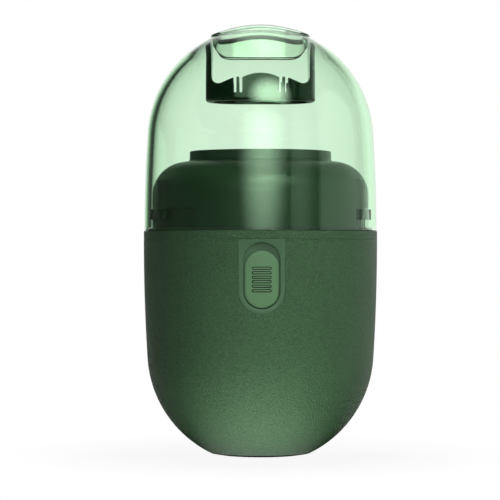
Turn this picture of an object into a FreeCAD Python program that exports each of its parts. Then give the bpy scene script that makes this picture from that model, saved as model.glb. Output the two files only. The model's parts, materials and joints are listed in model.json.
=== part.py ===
import FreeCAD, Part
import math
import os
import re
import Sketcher

# Desktop capsule vacuum cleaner: a clear dust cup on a grained motor housing.
# Origin at the centre of the base, +Z up, the power slider faces -Y.
# Bearings round the axis are measured from the front (-Y) towards +X.

LEFT, RIGHT = 1, -1

SIZES = {
    # Outer form: two crowns of one radius, joined by barrels that stand upright at the seam.
    "crown_radius": 30.07,
    "lower_centre": 27.36,
    "upper_centre": 83.5,
    "seam_radius": 31.0,
    "seam_height": 57.0,
    "seam_chamfer": 0.25,
    # Outer shell and its foot.
    "shell_wall": 2.0,
    "base_lift": 0.3,
    "pad_radius": 11.4,
    "pad_thickness": 1.4,
    "pad_seat_radius": 11.6,
    "floor_bottom": 1.5,
    "floor_top": 3.0,
    "boss_radius": 5.0,
    "boss_top": 5.5,
    "base_screw_bore": 1.3,
    "base_head_seat": 2.9,
    "base_head_pocket": 2.6,
    # Collar ring.
    "ring_top": 59.2,
    "ring_edge": 0.15,
    "ring_bore": 28.9,
    "ledge_height": 58.0,
    "skirt_outer": 28.85,
    "skirt_inner": 27.35,
    "skirt_bottom": 52.4,
    "tab_inner": 22.8,
    "tab_width": 6.0,
    "deck_screw_circle": 25.0,
    "deck_screw_bore": 1.0,
    # Switch panel, slider and the slide switch behind them.
    "panel_half_width": 5.95,
    "panel_bottom": 38.0,
    "panel_gap": 0.08,
    "slot_half_width": 4.65,
    "slot_bottom": 39.2,
    "slot_top": 56.2,
    "slot_floor": 29.55,
    "slider_half_width": 4.4,
    "slider_bottom": 39.4,
    "slider_top": 54.1,
    "slider_back": 29.75,
    "slider_sink": 0.35,
    "rib_sink": 0.05,
    "rib_half_width": 2.5,
    "rib_half_height": 0.42,
    "rib_first": 43.9,
    "rib_pitch": 1.12,
    "stem_half_width": 1.5,
    "stem_bottom": 45.5,
    "stem_top": 48.5,
    "stem_end": 25.5,
    "switch_travel": 2.1,
    "actuator_half_width": 1.0,
    "board_front": 19.6,
    "board_thickness": 1.2,
    "switch_front": 24.4,
    # Filter hood with its neck and bayonet slots.
    "hood_radius": 28.7,
    "hood_wall": 2.0,
    "shoulder_radius": 9.0,
    "shoulder_foot": 68.5,
    "neck_radius": 18.8,
    "neck_bore": 17.3,
    "neck_fillet": 0.9,
    "neck_top": 80.3,
    "neck_edge": 0.3,
    "neck_bottom": 64.0,
    "filter_seat": 69.0,
    "seat_bore": 15.0,
    "slot_depth_radius": 27.6,
    "slot_ceiling": 65.1,
    "leg_top": 72.5,
    "lug_bearing": 65.0,
    "lug_angle": 14.0,
    "lug_play": 1.5,
    "twist_angle": 21.0,
    "lug_inner": 27.9,
    "lug_bottom": 62.1,
    "lug_top": 64.8,
    # Dust cup.
    "dome_foot": 59.3,
    "dome_foot_radius": 30.87,
    "dome_wall": 1.8,
    "lug_root": 0.3,
    "seal_rebate": 29.95,
    "rebate_top": 60.1,
    "seal_inner": 29.2,
    "seal_outer": 29.75,
    "seal_top": 59.9,
    # Inlet in the crown: an oblong clear collar, its rim and the sleeve round it.
    "rim_half_length": 13.15,
    "rim_half_width": 7.3,
    "rim_rise": 0.6,
    "collar_half_length": 12.5,
    "collar_half_width": 6.65,
    "collar_wall": 1.4,
    "collar_bottom": 104.5,
    "collar_end_bottom": 107.7,
    "collar_corner_radius": 6.2,
    "collar_flat": 6.6,
    "sleeve_half_length": 14.6,
    "sleeve_half_width": 8.8,
    "sleeve_wall": 1.8,
    "sleeve_bottom": 93.5,
    "sleeve_edge": 0.8,
    "sleeve_gap": 0.15,
    "window_half_width": 12.9,
    "window_shoulder": 10.9,
    "window_sill": 98.0,
    "window_arch_foot": 99.4,
    "window_arch_radius": 10.4,
    "finger_outer": 6.36,
    "finger_inner": 5.56,
    "finger_slit": 0.72,
    "finger_root": 95.5,
    "finger_tip": 99.6,
    # Filter cartridge.
    "cartridge_radius": 17.0,
    "cartridge_top": 80.0,
    "filter_seal_top": 70.1,
    "frame_foot_top": 71.3,
    "frame_head": 78.6,
    "frame_bore": 13.5,
    "media_outer": 15.2,
    "media_inner": 10.5,
    "media_paper": 0.6,
    "mesh_thickness": 0.4,
    # Fan, motor and shaft.
    "deck_bottom": 54.0,
    "deck_top": 56.0,
    "deck_radius": 26.6,
    "motor_cup_inner": 12.3,
    "motor_cup_outer": 13.8,
    "motor_cup_bottom": 42.0,
    "fan_cover_inner": 21.5,
    "fan_cover_outer": 22.7,
    "fan_cover_bottom": 62.6,
    "fan_eye": 9.0,
    "impeller_radius": 19.5,
    "impeller_bottom": 56.8,
    "impeller_plate_top": 57.6,
    "blade_top": 62.2,
    "shaft_radius": 1.0,
    "shaft_fit": 0.02,
    "bush_play": 0.06,
    "bush_radius": 2.4,
    "motor_radius": 12.0,
    "motor_bottom": 32.0,
    "motor_shell": 1.0,
    "nose_radius": 3.2,
    "motor_screw_circle": 8.0,
    "armature_radius": 8.6,
    "magnet_inner": 9.2,
    # Battery, charging board and socket.
    "cell_radius": 8.6,
    "cell_length": 34.5,
    "cell_height": 17.0,
    "holder_half_length": 19.3,
    "holder_half_width": 10.2,
    "holder_top": 15.0,
    "charge_board_back": 21.9,
    "usb_height": 20.5,
    "usb_half_length": 4.47,
    "usb_half_height": 1.63,
    "usb_wall": 0.3,
    "usb_mouth": 28.4,
    "led_height": 30.0,
    "pipe_radius": 1.0,
    "pipe_end": 30.1,
    # Exhaust holes in the back and the foam behind them.
    "vent_radius": 0.8,
    "vent_first": 40.0,
    "vent_pitch": 3.6,
    "vent_step": 8.0,
    "foam_outer": 28.4,
    "foam_thickness": 1.1,
}

VENT_ROWS = 4
VENT_COLUMNS = 7
GRIP_RIBS = 6
FAN_BLADES = 9
MEDIA_PLEATS = 30
MESH_RINGS = ((2.6, 6), (5.2, 12), (7.8, 18), (10.4, 24))
MESH_HOLE_RADIUS = 0.75

ALIAS = re.compile(r"[a-z]+(?:_[a-z]+)+")

doc = FreeCAD.newDocument("capsule_vacuum")
sheet = doc.addObject("Spreadsheet::Sheet", "dim")
for row, (alias, size) in enumerate(SIZES.items(), start=1):
    sheet.set(f"A{row}", alias)
    sheet.set(f"B{row}", str(size))
    sheet.setAlias(f"B{row}", alias)
doc.recompute()


# Expressions of the size sheet

def linked(text):
    """Put the sheet's name before each size that an expression uses."""
    return ALIAS.sub(lambda found: f"dim.{found.group()}", str(text))


def number(text):
    """What an expression comes to with the sheet's present sizes."""
    return float(sheet.evalExpression(linked(text)))


def bind(item, prop, text):
    """Drive one property of an object by an expression of the size sheet."""
    item.setExpression(prop, linked(text))


def barrel_radius(foot_radius, rise):
    """Radius of the arc that is upright at the foot and runs smoothly into a crown."""
    return (f"((({foot_radius})^2 + ({rise})^2 - crown_radius^2)"
            f" / (2 * (({foot_radius}) - crown_radius)))")


def joint_radius(barrel, foot_radius, wall):
    """Distance from the axis at which a barrel meets its crown, wall deep in the skin."""
    return f"((crown_radius - {wall}) * ({barrel} - {foot_radius}) / ({barrel} - crown_radius))"


def joint_rise(barrel, rise, wall):
    """Distance along the axis from the crown's centre to where the barrel meets it."""
    return f"((crown_radius - {wall}) * ({rise}) / ({barrel} - crown_radius))"


BODY_RISE = "(seam_height - lower_centre)"
BODY_BARREL = barrel_radius("seam_radius", BODY_RISE)
DOME_RISE = "(upper_centre - ring_top)"
DOME_BARREL = barrel_radius("dome_foot_radius", DOME_RISE)


def body_radius(height, sink="0"):
    """Radius of the lower half's barrel at a height, sunk by some depth."""
    return (f"(seam_radius - {BODY_BARREL}"
            f" + sqrt(({BODY_BARREL} - {sink})^2 - (seam_height - ({height}))^2))")


def dome_radius(height, sink="0"):
    """Radius of the dome's barrel at a height, sunk by some depth."""
    return (f"(dome_foot_radius - {DOME_BARREL}"
            f" + sqrt(({DOME_BARREL} - {sink})^2 - (({height}) - ring_top)^2))")


# Sketches and features

def origin_feature(body, role):
    """Origin plane or axis of a body."""
    return next(item for item in body.Origin.OriginFeatures if item.Role == role)


def new_sketch(body, role, offset="0", bearing=None):
    """Sketch on an origin plane, moved along its normal or turned about the axis."""
    sketch = body.newObject("Sketcher::SketchObject", body.Label + "_sketch")
    sketch.AttachmentSupport = (origin_feature(body, role), [""])
    sketch.MapMode = "FlatFace"
    if bearing is None:
        bind(sketch, "AttachmentOffset.Base.z", offset)
    else:
        turning = FreeCAD.Rotation(FreeCAD.Vector(0, 1, 0), number(bearing) - 90)
        shift = turning.multVec(FreeCAD.Vector(0, 0, number(offset)))
        sketch.AttachmentOffset = FreeCAD.Placement(shift, turning)
    return sketch


def hold_point(sketch, edge, end, x, y):
    """Fix one end of a sketch edge by its two distances from the sketch's origin."""
    for kind, text in (("DistanceX", x), ("DistanceY", y)):
        rule = Sketcher.Constraint(kind, -1, 1, edge, end, number(text))
        index = sketch.addConstraint(rule)
        bind(sketch, f"Constraints[{index}]", text)


def hold_radius(sketch, edge, radius):
    """Fix the radius of an arc or circle."""
    index = sketch.addConstraint(Sketcher.Constraint("Radius", edge, number(radius)))
    bind(sketch, f"Constraints[{index}]", radius)


def arc_between(start, end, radius, side):
    """Arc shorter than a half turn, with its centre on the left or right of start to end."""
    chord = end - start
    height = math.sqrt(max(radius ** 2 - (chord.Length / 2) ** 2, 0))
    across = FreeCAD.Vector(-chord.y, chord.x, 0).normalize()
    centre = (start + end) / 2 + across * height * side
    first, last = (start, end) if side == LEFT else (end, start)
    angles = [math.atan2(point.y - centre.y, point.x - centre.x) for point in (first, last)]
    circle = Part.Circle(centre, FreeCAD.Vector(0, 0, 1), radius)
    return Part.ArcOfCircle(circle, angles[0], angles[1])


def draw_outline(sketch, corners):
    """Closed outline. A corner is (x, y), or (x, y, radius, side) where an arc leaves it."""
    points = [FreeCAD.Vector(number(corner[0]), number(corner[1]), 0) for corner in corners]
    ends = []
    for corner, start, end in zip(corners, points, points[1:] + points[:1]):
        curved = len(corner) == 4
        if curved:
            edge = sketch.addGeometry(arc_between(start, end, number(corner[2]), corner[3]))
        else:
            edge = sketch.addGeometry(Part.LineSegment(start, end))
        backwards = curved and corner[3] == RIGHT
        ends.append((edge, 2, 1) if backwards else (edge, 1, 2))
    for (edge, start, _), corner in zip(ends, corners):
        hold_point(sketch, edge, start, corner[0], corner[1])
    for (edge, _, end), (following, start, _) in zip(ends, ends[1:] + ends[:1]):
        sketch.addConstraint(Sketcher.Constraint("Coincident", edge, end, following, start))
    for (edge, _, _), corner in zip(ends, corners):
        if len(corner) == 4:
            hold_radius(sketch, edge, corner[2])


def draw_circle(sketch, x, y, radius):
    """Circle with its centre and radius fixed."""
    centre = FreeCAD.Vector(number(x), number(y), 0)
    circle = Part.Circle(centre, FreeCAD.Vector(0, 0, 1), number(radius))
    edge = sketch.addGeometry(circle)
    hold_point(sketch, edge, 3, x, y)
    hold_radius(sketch, edge, radius)


def box_outline(x_low, y_low, x_high, y_high):
    """Corners of a rectangle."""
    return [(x_low, y_low), (x_high, y_low), (x_high, y_high), (x_low, y_high)]


def oblong_outline(half_length, half_width, x="0", y="0"):
    """Oblong with round ends, long in x."""
    straight = f"({half_length} - ({half_width}))"
    return [
        (f"{x} - {straight}", f"{y} - ({half_width})"),
        (f"{x} + {straight}", f"{y} - ({half_width})", half_width, LEFT),
        (f"{x} + {half_length}", y, half_width, LEFT),
        (f"{x} + {straight}", f"{y} + ({half_width})"),
        (f"{x} - {straight}", f"{y} + ({half_width})", half_width, LEFT),
        (f"{x} - ({half_length})", y, half_width, LEFT),
    ]


def upright_oblong(half_width, bottom, top):
    """Oblong with round ends, long in y and centred on x = 0."""
    return [
        (half_width, f"{bottom} + {half_width}"),
        (half_width, f"{top} - {half_width}", half_width, LEFT),
        ("0", top, half_width, LEFT),
        (f"-{half_width}", f"{top} - {half_width}"),
        (f"-{half_width}", f"{bottom} + {half_width}", half_width, LEFT),
        ("0", bottom, half_width, LEFT),
    ]


def new_body(label):
    """Empty body with the name of its sub-part."""
    body = doc.addObject("PartDesign::Body", label)
    body.Label = label
    return body


def add_feature(body, kind, sketch):
    """PartDesign feature made from a sketch, set as the body's tip."""
    feature = body.newObject(f"PartDesign::{kind}", f"{body.Label}_{kind.lower()}")
    feature.Profile = sketch
    body.Tip = feature
    return feature


def turn(body, outlines, kind="Revolution", angle="360", bearing=None):
    """Revolve outlines of radius and height about the axis, or groove them out."""
    sketch = new_sketch(body, "XZ_Plane", bearing=bearing)
    for corners in outlines:
        draw_outline(sketch, corners)
    feature = add_feature(body, kind, sketch)
    feature.ReferenceAxis = (sketch, ["V_Axis"])
    bind(feature, "Angle", angle)
    return feature


def extrude(body, role, offset, length, outlines=(), circles=(), kind="Pad", bearing=None):
    """Pad outlines and circles along a plane's normal, or pocket them against it."""
    sketch = new_sketch(body, role, offset, bearing)
    for corners in outlines:
        draw_outline(sketch, corners)
    for circle in circles:
        draw_circle(sketch, *circle)
    feature = add_feature(body, kind, sketch)
    bind(feature, "Length", length)
    return feature


def polar(body, features, count, angle=360):
    """Repeat features about the upright axis."""
    pattern = body.newObject("PartDesign::PolarPattern", f"{body.Label}_polar")
    pattern.Originals = features
    pattern.Axis = (origin_feature(body, "Z_Axis"), [""])
    pattern.Angle = angle
    pattern.Occurrences = count
    body.Tip = pattern
    return pattern


def round_edges(body, radius, chosen):
    """Fillet the edges of a body that a test picks by their bounding boxes."""
    doc.recompute()
    base = body.Tip
    names = [f"Edge{index}" for index, edge in enumerate(base.Shape.Edges, start=1)
             if chosen(edge.BoundBox)]
    fillet = body.newObject("PartDesign::Fillet", f"{body.Label}_fillet")
    fillet.Base = (base, names)
    bind(fillet, "Radius", radius)
    body.Tip = fillet
    return fillet


def turned_part(label, outlines, angle="360", bearing=None):
    """Sub-part that is one revolved section."""
    body = new_body(label)
    turn(body, outlines, angle=angle, bearing=bearing)
    return body


def box_part(label, low, high):
    """Upright box between two corners."""
    box = doc.addObject("Part::Box", label)
    box.Label = label
    for prop, start, end in zip(("Length", "Width", "Height"), low, high):
        bind(box, prop, f"{end} - ({start})")
    for axis, start in zip("xyz", low):
        bind(box, f"Placement.Base.{axis}", start)
    return box


def cylinder_part(label, radius, bottom, top):
    """Round bar on the upright axis."""
    bar = doc.addObject("Part::Cylinder", label)
    bar.Label = label
    bind(bar, "Radius", radius)
    bind(bar, "Height", f"{top} - ({bottom})")
    bind(bar, "Placement.Base.z", bottom)
    return bar


# Housing

def shield_outline(half_width, bottom, top):
    """Straight-sided shield with a half-round foot."""
    return [
        (f"-({half_width})", top),
        (f"-({half_width})", f"{bottom} + {half_width}", half_width, LEFT),
        ("0", bottom, half_width, LEFT),
        (half_width, f"{bottom} + {half_width}"),
        (half_width, top),
    ]


def outer_shell():
    """Lower half: a grained cup, with the openings for the panel, the vents and the socket."""
    body = new_body("outer_shell")
    foot_radius = "sqrt(crown_radius^2 - (lower_centre - base_lift)^2)"
    floor_radius = "sqrt((crown_radius - shell_wall)^2 - (lower_centre - floor_top)^2)"
    turn(body, [[
        ("pad_seat_radius", "base_lift"),
        (foot_radius, "base_lift", "crown_radius", LEFT),
        (joint_radius(BODY_BARREL, "seam_radius", "0"),
         f"lower_centre - {joint_rise(BODY_BARREL, BODY_RISE, '0')}", BODY_BARREL, LEFT),
        (body_radius("seam_height - seam_chamfer"), "seam_height - seam_chamfer"),
        ("seam_radius - seam_chamfer", "seam_height"),
        ("seam_radius - shell_wall", "seam_height", f"{BODY_BARREL} - shell_wall", RIGHT),
        (joint_radius(BODY_BARREL, "seam_radius", "shell_wall"),
         f"lower_centre - {joint_rise(BODY_BARREL, BODY_RISE, 'shell_wall')}",
         "crown_radius - shell_wall", RIGHT),
        (floor_radius, "floor_top"),
        ("boss_radius", "floor_top"),
        ("boss_radius", "boss_top"),
        ("base_screw_bore", "boss_top"),
        ("base_screw_bore", "base_head_seat"),
        ("base_head_pocket", "base_head_seat"),
        ("base_head_pocket", "floor_bottom"),
        ("pad_seat_radius", "floor_bottom"),
    ]])
    opening = shield_outline("(panel_half_width + panel_gap)", "(panel_bottom - panel_gap)",
                             "seam_height + shell_wall")
    extrude(body, "XZ_Plane", "seam_radius + shell_wall", "3 * shell_wall", [opening],
            kind="Pocket")
    socket = oblong_outline("(usb_half_length + 0.25)", "(usb_half_height + 0.25)",
                            y="usb_height")
    extrude(body, "XZ_Plane", "3 * shell_wall - seam_radius", "4 * shell_wall", [socket],
            circles=[("0", "led_height", "pipe_radius + 0.05")], kind="Pocket")
    rows = [("0", f"vent_first + {row} * vent_pitch", "vent_radius") for row in range(VENT_ROWS)]
    vents = extrude(body, "XZ_Plane", "3 * shell_wall - seam_radius", "4 * shell_wall",
                    circles=rows, kind="Pocket",
                    bearing=f"90 - vent_step * {(VENT_COLUMNS - 1) / 2}")
    polar(body, [vents], VENT_COLUMNS, number(f"vent_step * {VENT_COLUMNS - 1}"))
    return body


def collar_ring():
    """Band above the seam, with a skirt inside the shell and four tabs for the deck."""
    body = new_body("collar_ring")
    turn(body, [[
        ("skirt_inner", "skirt_bottom"),
        ("skirt_outer", "skirt_bottom"),
        ("skirt_outer", "seam_height"),
        ("seam_radius - seam_chamfer", "seam_height"),
        ("seam_radius", "seam_height + seam_chamfer"),
        ("seam_radius", "ring_top - ring_edge"),
        ("seam_radius - ring_edge", "ring_top"),
        ("ring_bore", "ring_top"),
        ("ring_bore", "ledge_height"),
        ("skirt_inner", "ledge_height"),
    ]])
    tab = extrude(body, "XY_Plane", "skirt_bottom", "deck_bottom - skirt_bottom",
                  [box_outline("tab_inner", "-tab_width / 2", "skirt_inner + 0.3",
                               "tab_width / 2")])
    polar(body, [tab], 4)
    hole = extrude(body, "XY_Plane", "deck_bottom", "2 * (deck_bottom - skirt_bottom)",
                   circles=[("deck_screw_circle", "0", "deck_screw_bore")], kind="Pocket")
    polar(body, [hole], 4)
    return body


def barrel_cut(body, sink, low, high, outwards=True):
    """Shape a block to the barrel: cut all that lies outside it, or all inside."""
    far = "seam_radius + 9" if outwards else "seam_radius - 9"
    curve = f"{BODY_BARREL} - {sink}"
    turn(body, [[
        (body_radius(low, sink), low, curve, LEFT),
        (body_radius(high, sink), high),
        (far, high),
        (far, low),
    ]], kind="Groove")


def switch_panel():
    """Smooth shield let into the shell, with the slider's slot and the stem's slot in it."""
    body = new_body("switch_panel")
    extrude(body, "XZ_Plane", "seam_radius - 3.5", "5",
            [shield_outline("panel_half_width", "panel_bottom", "seam_height")])
    barrel_cut(body, "0", "panel_bottom - 2", "seam_height + 2")
    barrel_cut(body, "shell_wall", "panel_bottom - 2", "seam_height + 2", outwards=False)
    slot = upright_oblong("slot_half_width", "slot_bottom", "slot_top")
    depth = "seam_radius + 1 - slot_floor"
    front = "seam_radius + 1"
    sketch = new_sketch(body, "XZ_Plane", front)
    draw_outline(sketch, slot)
    pocket = add_feature(body, "Pocket", sketch)
    bind(pocket, "Length", depth)
    stem_slot = box_outline("-stem_half_width - 0.3", "stem_bottom - 0.3",
                            "stem_half_width + 0.3", "stem_top + switch_travel + 0.4")
    extrude(body, "XZ_Plane", front, "4 + shell_wall", [stem_slot], kind="Pocket")
    return body


def filter_hood():
    """Satin hood that closes the fan and holds the filter in its neck."""
    body = new_body("filter_hood")
    shoulder_top = "shoulder_foot + shoulder_radius"
    inner_shoulder = "shoulder_radius - hood_wall"
    neck_foot = "hood_radius - shoulder_radius"
    turn(body, [[
        ("hood_radius - hood_wall", "ledge_height"),
        ("hood_radius", "ledge_height"),
        ("hood_radius", "shoulder_foot", "shoulder_radius", LEFT),
        (neck_foot, shoulder_top, "neck_fillet", RIGHT),
        ("neck_radius", f"{shoulder_top} + neck_fillet"),
        ("neck_radius", "neck_top - neck_edge", "neck_edge", LEFT),
        ("neck_radius - neck_edge", "neck_top"),
        ("neck_bore", "neck_top"),
        ("neck_bore", "filter_seat"),
        ("seat_bore", "filter_seat"),
        ("seat_bore", "filter_seat - 1.5"),
        ("neck_bore", "filter_seat - 1.5"),
        ("neck_bore", "neck_bottom"),
        ("neck_radius", "neck_bottom"),
        ("neck_radius", f"{shoulder_top} - hood_wall"),
        (neck_foot, f"{shoulder_top} - hood_wall", inner_shoulder, RIGHT),
        ("hood_radius - hood_wall", "shoulder_foot"),
    ]])
    groove_outer = "hood_radius + 1.5"
    clear_angle = "lug_angle / 2 + lug_play"
    grooves = []
    for side in (-1, 1):
        start = f"{side} * lug_bearing - ({clear_angle})"
        track = [box_outline("slot_depth_radius", "ring_top", groove_outer, "slot_ceiling")]
        grooves.append(turn(body, track, "Groove", f"2 * ({clear_angle}) + twist_angle", start))
        leg = [box_outline("slot_depth_radius", "slot_ceiling - 0.5", groove_outer, "leg_top")]
        grooves.append(turn(body, leg, "Groove", f"2 * ({clear_angle})", start))
    polar(body, grooves, 2)
    return body


def motor_chassis():
    """Deck that carries the fan, with the motor's cup and the hangers of both boards."""
    body = new_body("motor_chassis")
    turn(body, [[
        ("nose_radius + 0.2", "deck_bottom"),
        ("motor_cup_inner", "deck_bottom"),
        ("motor_cup_inner", "motor_cup_bottom"),
        ("motor_cup_outer", "motor_cup_bottom"),
        ("motor_cup_outer", "deck_bottom"),
        ("deck_radius", "deck_bottom"),
        ("deck_radius", "deck_top"),
        ("nose_radius + 0.2", "deck_top"),
    ]])
    front = "board_thickness - board_front"
    extrude(body, "XY_Plane", "46", "deck_bottom - 45", [
        box_outline("-6", front, "6", f"{front} + 1.5")])
    extrude(body, "XY_Plane", "33", "deck_bottom - 32", [
        box_outline("-3", "charge_board_back - board_thickness - 1.7", "3",
                    "charge_board_back - board_thickness")])
    window = turn(body, [box_outline("impeller_radius + 0.4", "deck_bottom - 0.1",
                                     "fan_cover_inner - 0.2", "deck_top + 0.1")],
                  "Groove", "40", "10")
    polar(body, [window], 6)
    screw_hole = extrude(body, "XY_Plane", "deck_top", "4",
                         circles=[("deck_screw_circle", "0", "deck_screw_bore")],
                         kind="Pocket")
    polar(body, [screw_hole], 4)
    seat = extrude(body, "XY_Plane", "deck_top", "1",
                   circles=[("motor_screw_circle", "0", "1.8")], kind="Pocket")
    bore = extrude(body, "XY_Plane", "deck_top", "4",
                   circles=[("motor_screw_circle", "0", "0.85")], kind="Pocket")
    polar(body, [seat, bore], 2)
    return body


def fan_cover():
    """Flat cover over the impeller, with the eye in the middle."""
    return turned_part("fan_cover", [[
        ("fan_eye", "fan_cover_bottom"),
        ("fan_cover_inner", "fan_cover_bottom"),
        ("fan_cover_inner", "deck_top"),
        ("fan_cover_outer", "deck_top"),
        ("fan_cover_outer", "neck_bottom"),
        ("fan_eye + 0.8", "neck_bottom"),
    ]])


def base_pad():
    """Soft disc that the vacuum stands on."""
    return turned_part("base_pad", [[
        ("0", "0"),
        ("pad_radius - 0.3", "0"),
        ("pad_radius", "0.3"),
        ("pad_radius", "pad_thickness"),
        ("0", "pad_thickness"),
    ]])


def screw_outline(head_radius, head_low, head_high, shank_radius, tip, x="0"):
    """Half section of a screw whose head is above its shank, or below where tip is above."""
    head_foot = head_low if number(tip) < number(head_low) else head_high
    return [
        (x, head_low), (f"{x} + {head_radius}", head_low),
        (f"{x} + {head_radius}", head_high), (x, head_high),
    ], [
        (x, head_foot), (f"{x} + {shank_radius}", head_foot),
        (f"{x} + {shank_radius}", tip), (x, tip),
    ]


def base_screw():
    """Screw under the pad that pulls the battery holder down on the shell's boss."""
    body = new_body("base_screw")
    head, shank = screw_outline("2.3", "1.6", "base_head_seat", "1.15", "8")
    turn(body, [head])
    turn(body, [shank])
    return body


def screw_ring(label, circle, count, head_radius, head_low, head_high, shank_radius, tip):
    """Identical upright screws on a circle, in one node."""
    body = new_body(label)
    head = extrude(body, "XY_Plane", head_low, f"{head_high} - ({head_low})",
                   circles=[(circle, "0", head_radius)])
    shank = extrude(body, "XY_Plane", tip, f"{head_low} - ({tip})",
                    circles=[(circle, "0", shank_radius)])
    polar(body, [head, shank], count)
    return body


# Power slider and switch

def slider_button():
    """Oblong slider with grip ribs, and the stem that reaches in to the switch."""
    body = new_body("slider_button")
    extrude(body, "XZ_Plane", "slider_back", "4",
            [upright_oblong("slider_half_width", "slider_bottom", "slider_top")])
    barrel_cut(body, "slider_sink", "slider_bottom - 2", "slider_top + 2")
    rib = extrude(body, "XZ_Plane", "slider_back + 0.15", "3",
                  [oblong_outline("rib_half_width", "rib_half_height", y="rib_first")])
    pattern = body.newObject("PartDesign::LinearPattern", "slider_button_ribs")
    pattern.Originals = [rib]
    pattern.Direction = (origin_feature(body, "Z_Axis"), [""])
    bind(pattern, "Length", f"rib_pitch * {GRIP_RIBS - 1}")
    pattern.Occurrences = GRIP_RIBS
    body.Tip = pattern
    barrel_cut(body, "rib_sink", "slider_bottom - 2", "slider_top + 2")
    extrude(body, "XZ_Plane", "stem_end", "slider_back + 0.1 - stem_end",
            [box_outline("-stem_half_width", "stem_bottom", "stem_half_width", "stem_top")])
    socket = box_outline("-actuator_half_width - 0.05", "stem_bottom + 0.45",
                         "actuator_half_width + 0.05", "stem_top - 0.45")
    extrude(body, "XZ_Plane", "stem_end + 1.2", "1.2", [socket], kind="Pocket")
    return body


def slider_carrier():
    """Plate behind the panel that keeps the slider in its slot."""
    body = new_body("slider_carrier")
    extrude(body, "XZ_Plane", "27.6", "0.8", [
        box_outline("-3.2", "44", "3.2", "49.8"),
        box_outline("-stem_half_width", "stem_bottom", "stem_half_width", "stem_top"),
    ])
    return body


def switch_actuator():
    """Post of the slide switch, held in the slider's stem."""
    return box_part("switch_actuator",
                    ("-actuator_half_width", "-stem_end - 1", "stem_bottom + 0.5"),
                    ("actuator_half_width", "-switch_front + 0.8", "stem_top - 0.5"))


def slide_switch():
    """Slide switch on the main board, open at the front for its post."""
    body = new_body("slide_switch")
    extrude(body, "XZ_Plane", "board_front", "switch_front - board_front",
            [box_outline("-4.3", "43", "4.3", "51")])
    extrude(body, "XZ_Plane", "switch_front", "1.2",
            [box_outline("-1.25", "stem_bottom + 0.2", "1.25", "stem_top + switch_travel - 0.2")],
            kind="Pocket")
    return body


# Fan and motor

def impeller():
    """Backplate and hub with backward-curved blades."""
    body = new_body("impeller")
    bore = "shaft_radius + shaft_fit"
    turn(body, [[
        (bore, "impeller_bottom"),
        ("impeller_radius", "impeller_bottom"),
        ("impeller_radius", "impeller_plate_top"),
        ("4", "impeller_plate_top"),
        ("2.6", "blade_top - 0.7"),
        (bore, "blade_top - 0.7"),
    ]])
    blade = extrude(body, "XY_Plane", "impeller_plate_top - 0.2",
                    "blade_top - impeller_plate_top + 0.2",
                    [[("7.5", "0", "15", LEFT), ("15", "11.5"),
                      ("14.4", "12.1", "15.6", RIGHT), ("6.8", "0.5")]])
    polar(body, [blade], FAN_BLADES)
    return body


def motor_can():
    """Steel can with the nose that holds the upper bush."""
    body = new_body("motor_can")
    turn(body, [[
        ("motor_radius - motor_shell", "motor_bottom"),
        ("motor_radius", "motor_bottom"),
        ("motor_radius", "deck_bottom"),
        ("nose_radius", "deck_bottom"),
        ("nose_radius", "deck_top - 0.4"),
        ("bush_radius", "deck_top - 0.4"),
        ("bush_radius", "deck_bottom - motor_shell"),
        ("motor_radius - motor_shell", "deck_bottom - motor_shell"),
    ]])
    hole = extrude(body, "XY_Plane", "deck_bottom", "2 * motor_shell",
                   circles=[("motor_screw_circle", "0", "0.8")], kind="Pocket")
    polar(body, [hole], 2)
    return body


def motor_bushes():
    """Two bronze bushes that the shaft runs in."""
    bore = "shaft_radius + bush_play"
    return turned_part("motor_bushes", [
        box_outline(bore, "deck_bottom - 1.4", "bush_radius", "deck_top - 0.6"),
        box_outline(bore, "motor_bottom - 1.8", "bush_radius", "motor_bottom + 1.2"),
    ])


def motor_end_cap():
    """Plastic cap that closes the can and carries the terminals."""
    return turned_part("motor_end_cap", [[
        ("bush_radius", "motor_bottom - 2"),
        ("motor_radius", "motor_bottom - 2"),
        ("motor_radius", "motor_bottom"),
        ("motor_radius - motor_shell - 0.1", "motor_bottom"),
        ("motor_radius - motor_shell - 0.1", "motor_bottom + 1.6"),
        ("bush_radius", "motor_bottom + 1.6"),
    ]])


def motor_terminals():
    """Two brass tabs under the end cap."""
    body = new_body("motor_terminals")
    tab = extrude(body, "XY_Plane", "motor_bottom - 5.5", "3.5",
                  [box_outline("5", "-0.25", "7.5", "0.25")])
    polar(body, [tab], 2)
    return body


def motor_magnets():
    """Two curved magnets inside the can."""
    body = new_body("motor_magnets")
    section = box_outline("magnet_inner", "36", "motor_radius - motor_shell - 0.05", "51")
    magnet = turn(body, [section], angle="140", bearing="-70")
    polar(body, [magnet], 2)
    return body


def motor_armature():
    """Wound core on the shaft, with three winding slots."""
    body = new_body("motor_armature")
    turn(body, [box_outline("shaft_radius + shaft_fit", "37", "armature_radius", "50")])
    slot = extrude(body, "XY_Plane", "50", "13",
                   [box_outline("4", "-0.75", "armature_radius + 0.5", "0.75")], kind="Pocket")
    polar(body, [slot], 3)
    return body


def motor_commutator():
    """Copper commutator below the armature."""
    bore = "shaft_radius + shaft_fit"
    return turned_part("motor_commutator", [box_outline(bore, "34", "2.2", "36.8")])


# Battery and charging

def battery_cell():
    """Lithium cell lying across the bottom of the shell."""
    cell = doc.addObject("Part::Cylinder", "battery_cell")
    cell.Label = "battery_cell"
    bind(cell, "Radius", "cell_radius")
    bind(cell, "Height", "cell_length")
    cell.Placement.Rotation = FreeCAD.Rotation(FreeCAD.Vector(0, 1, 0), 90)
    bind(cell, "Placement.Base.x", "-cell_length / 2")
    bind(cell, "Placement.Base.z", "cell_height")
    return cell


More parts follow.
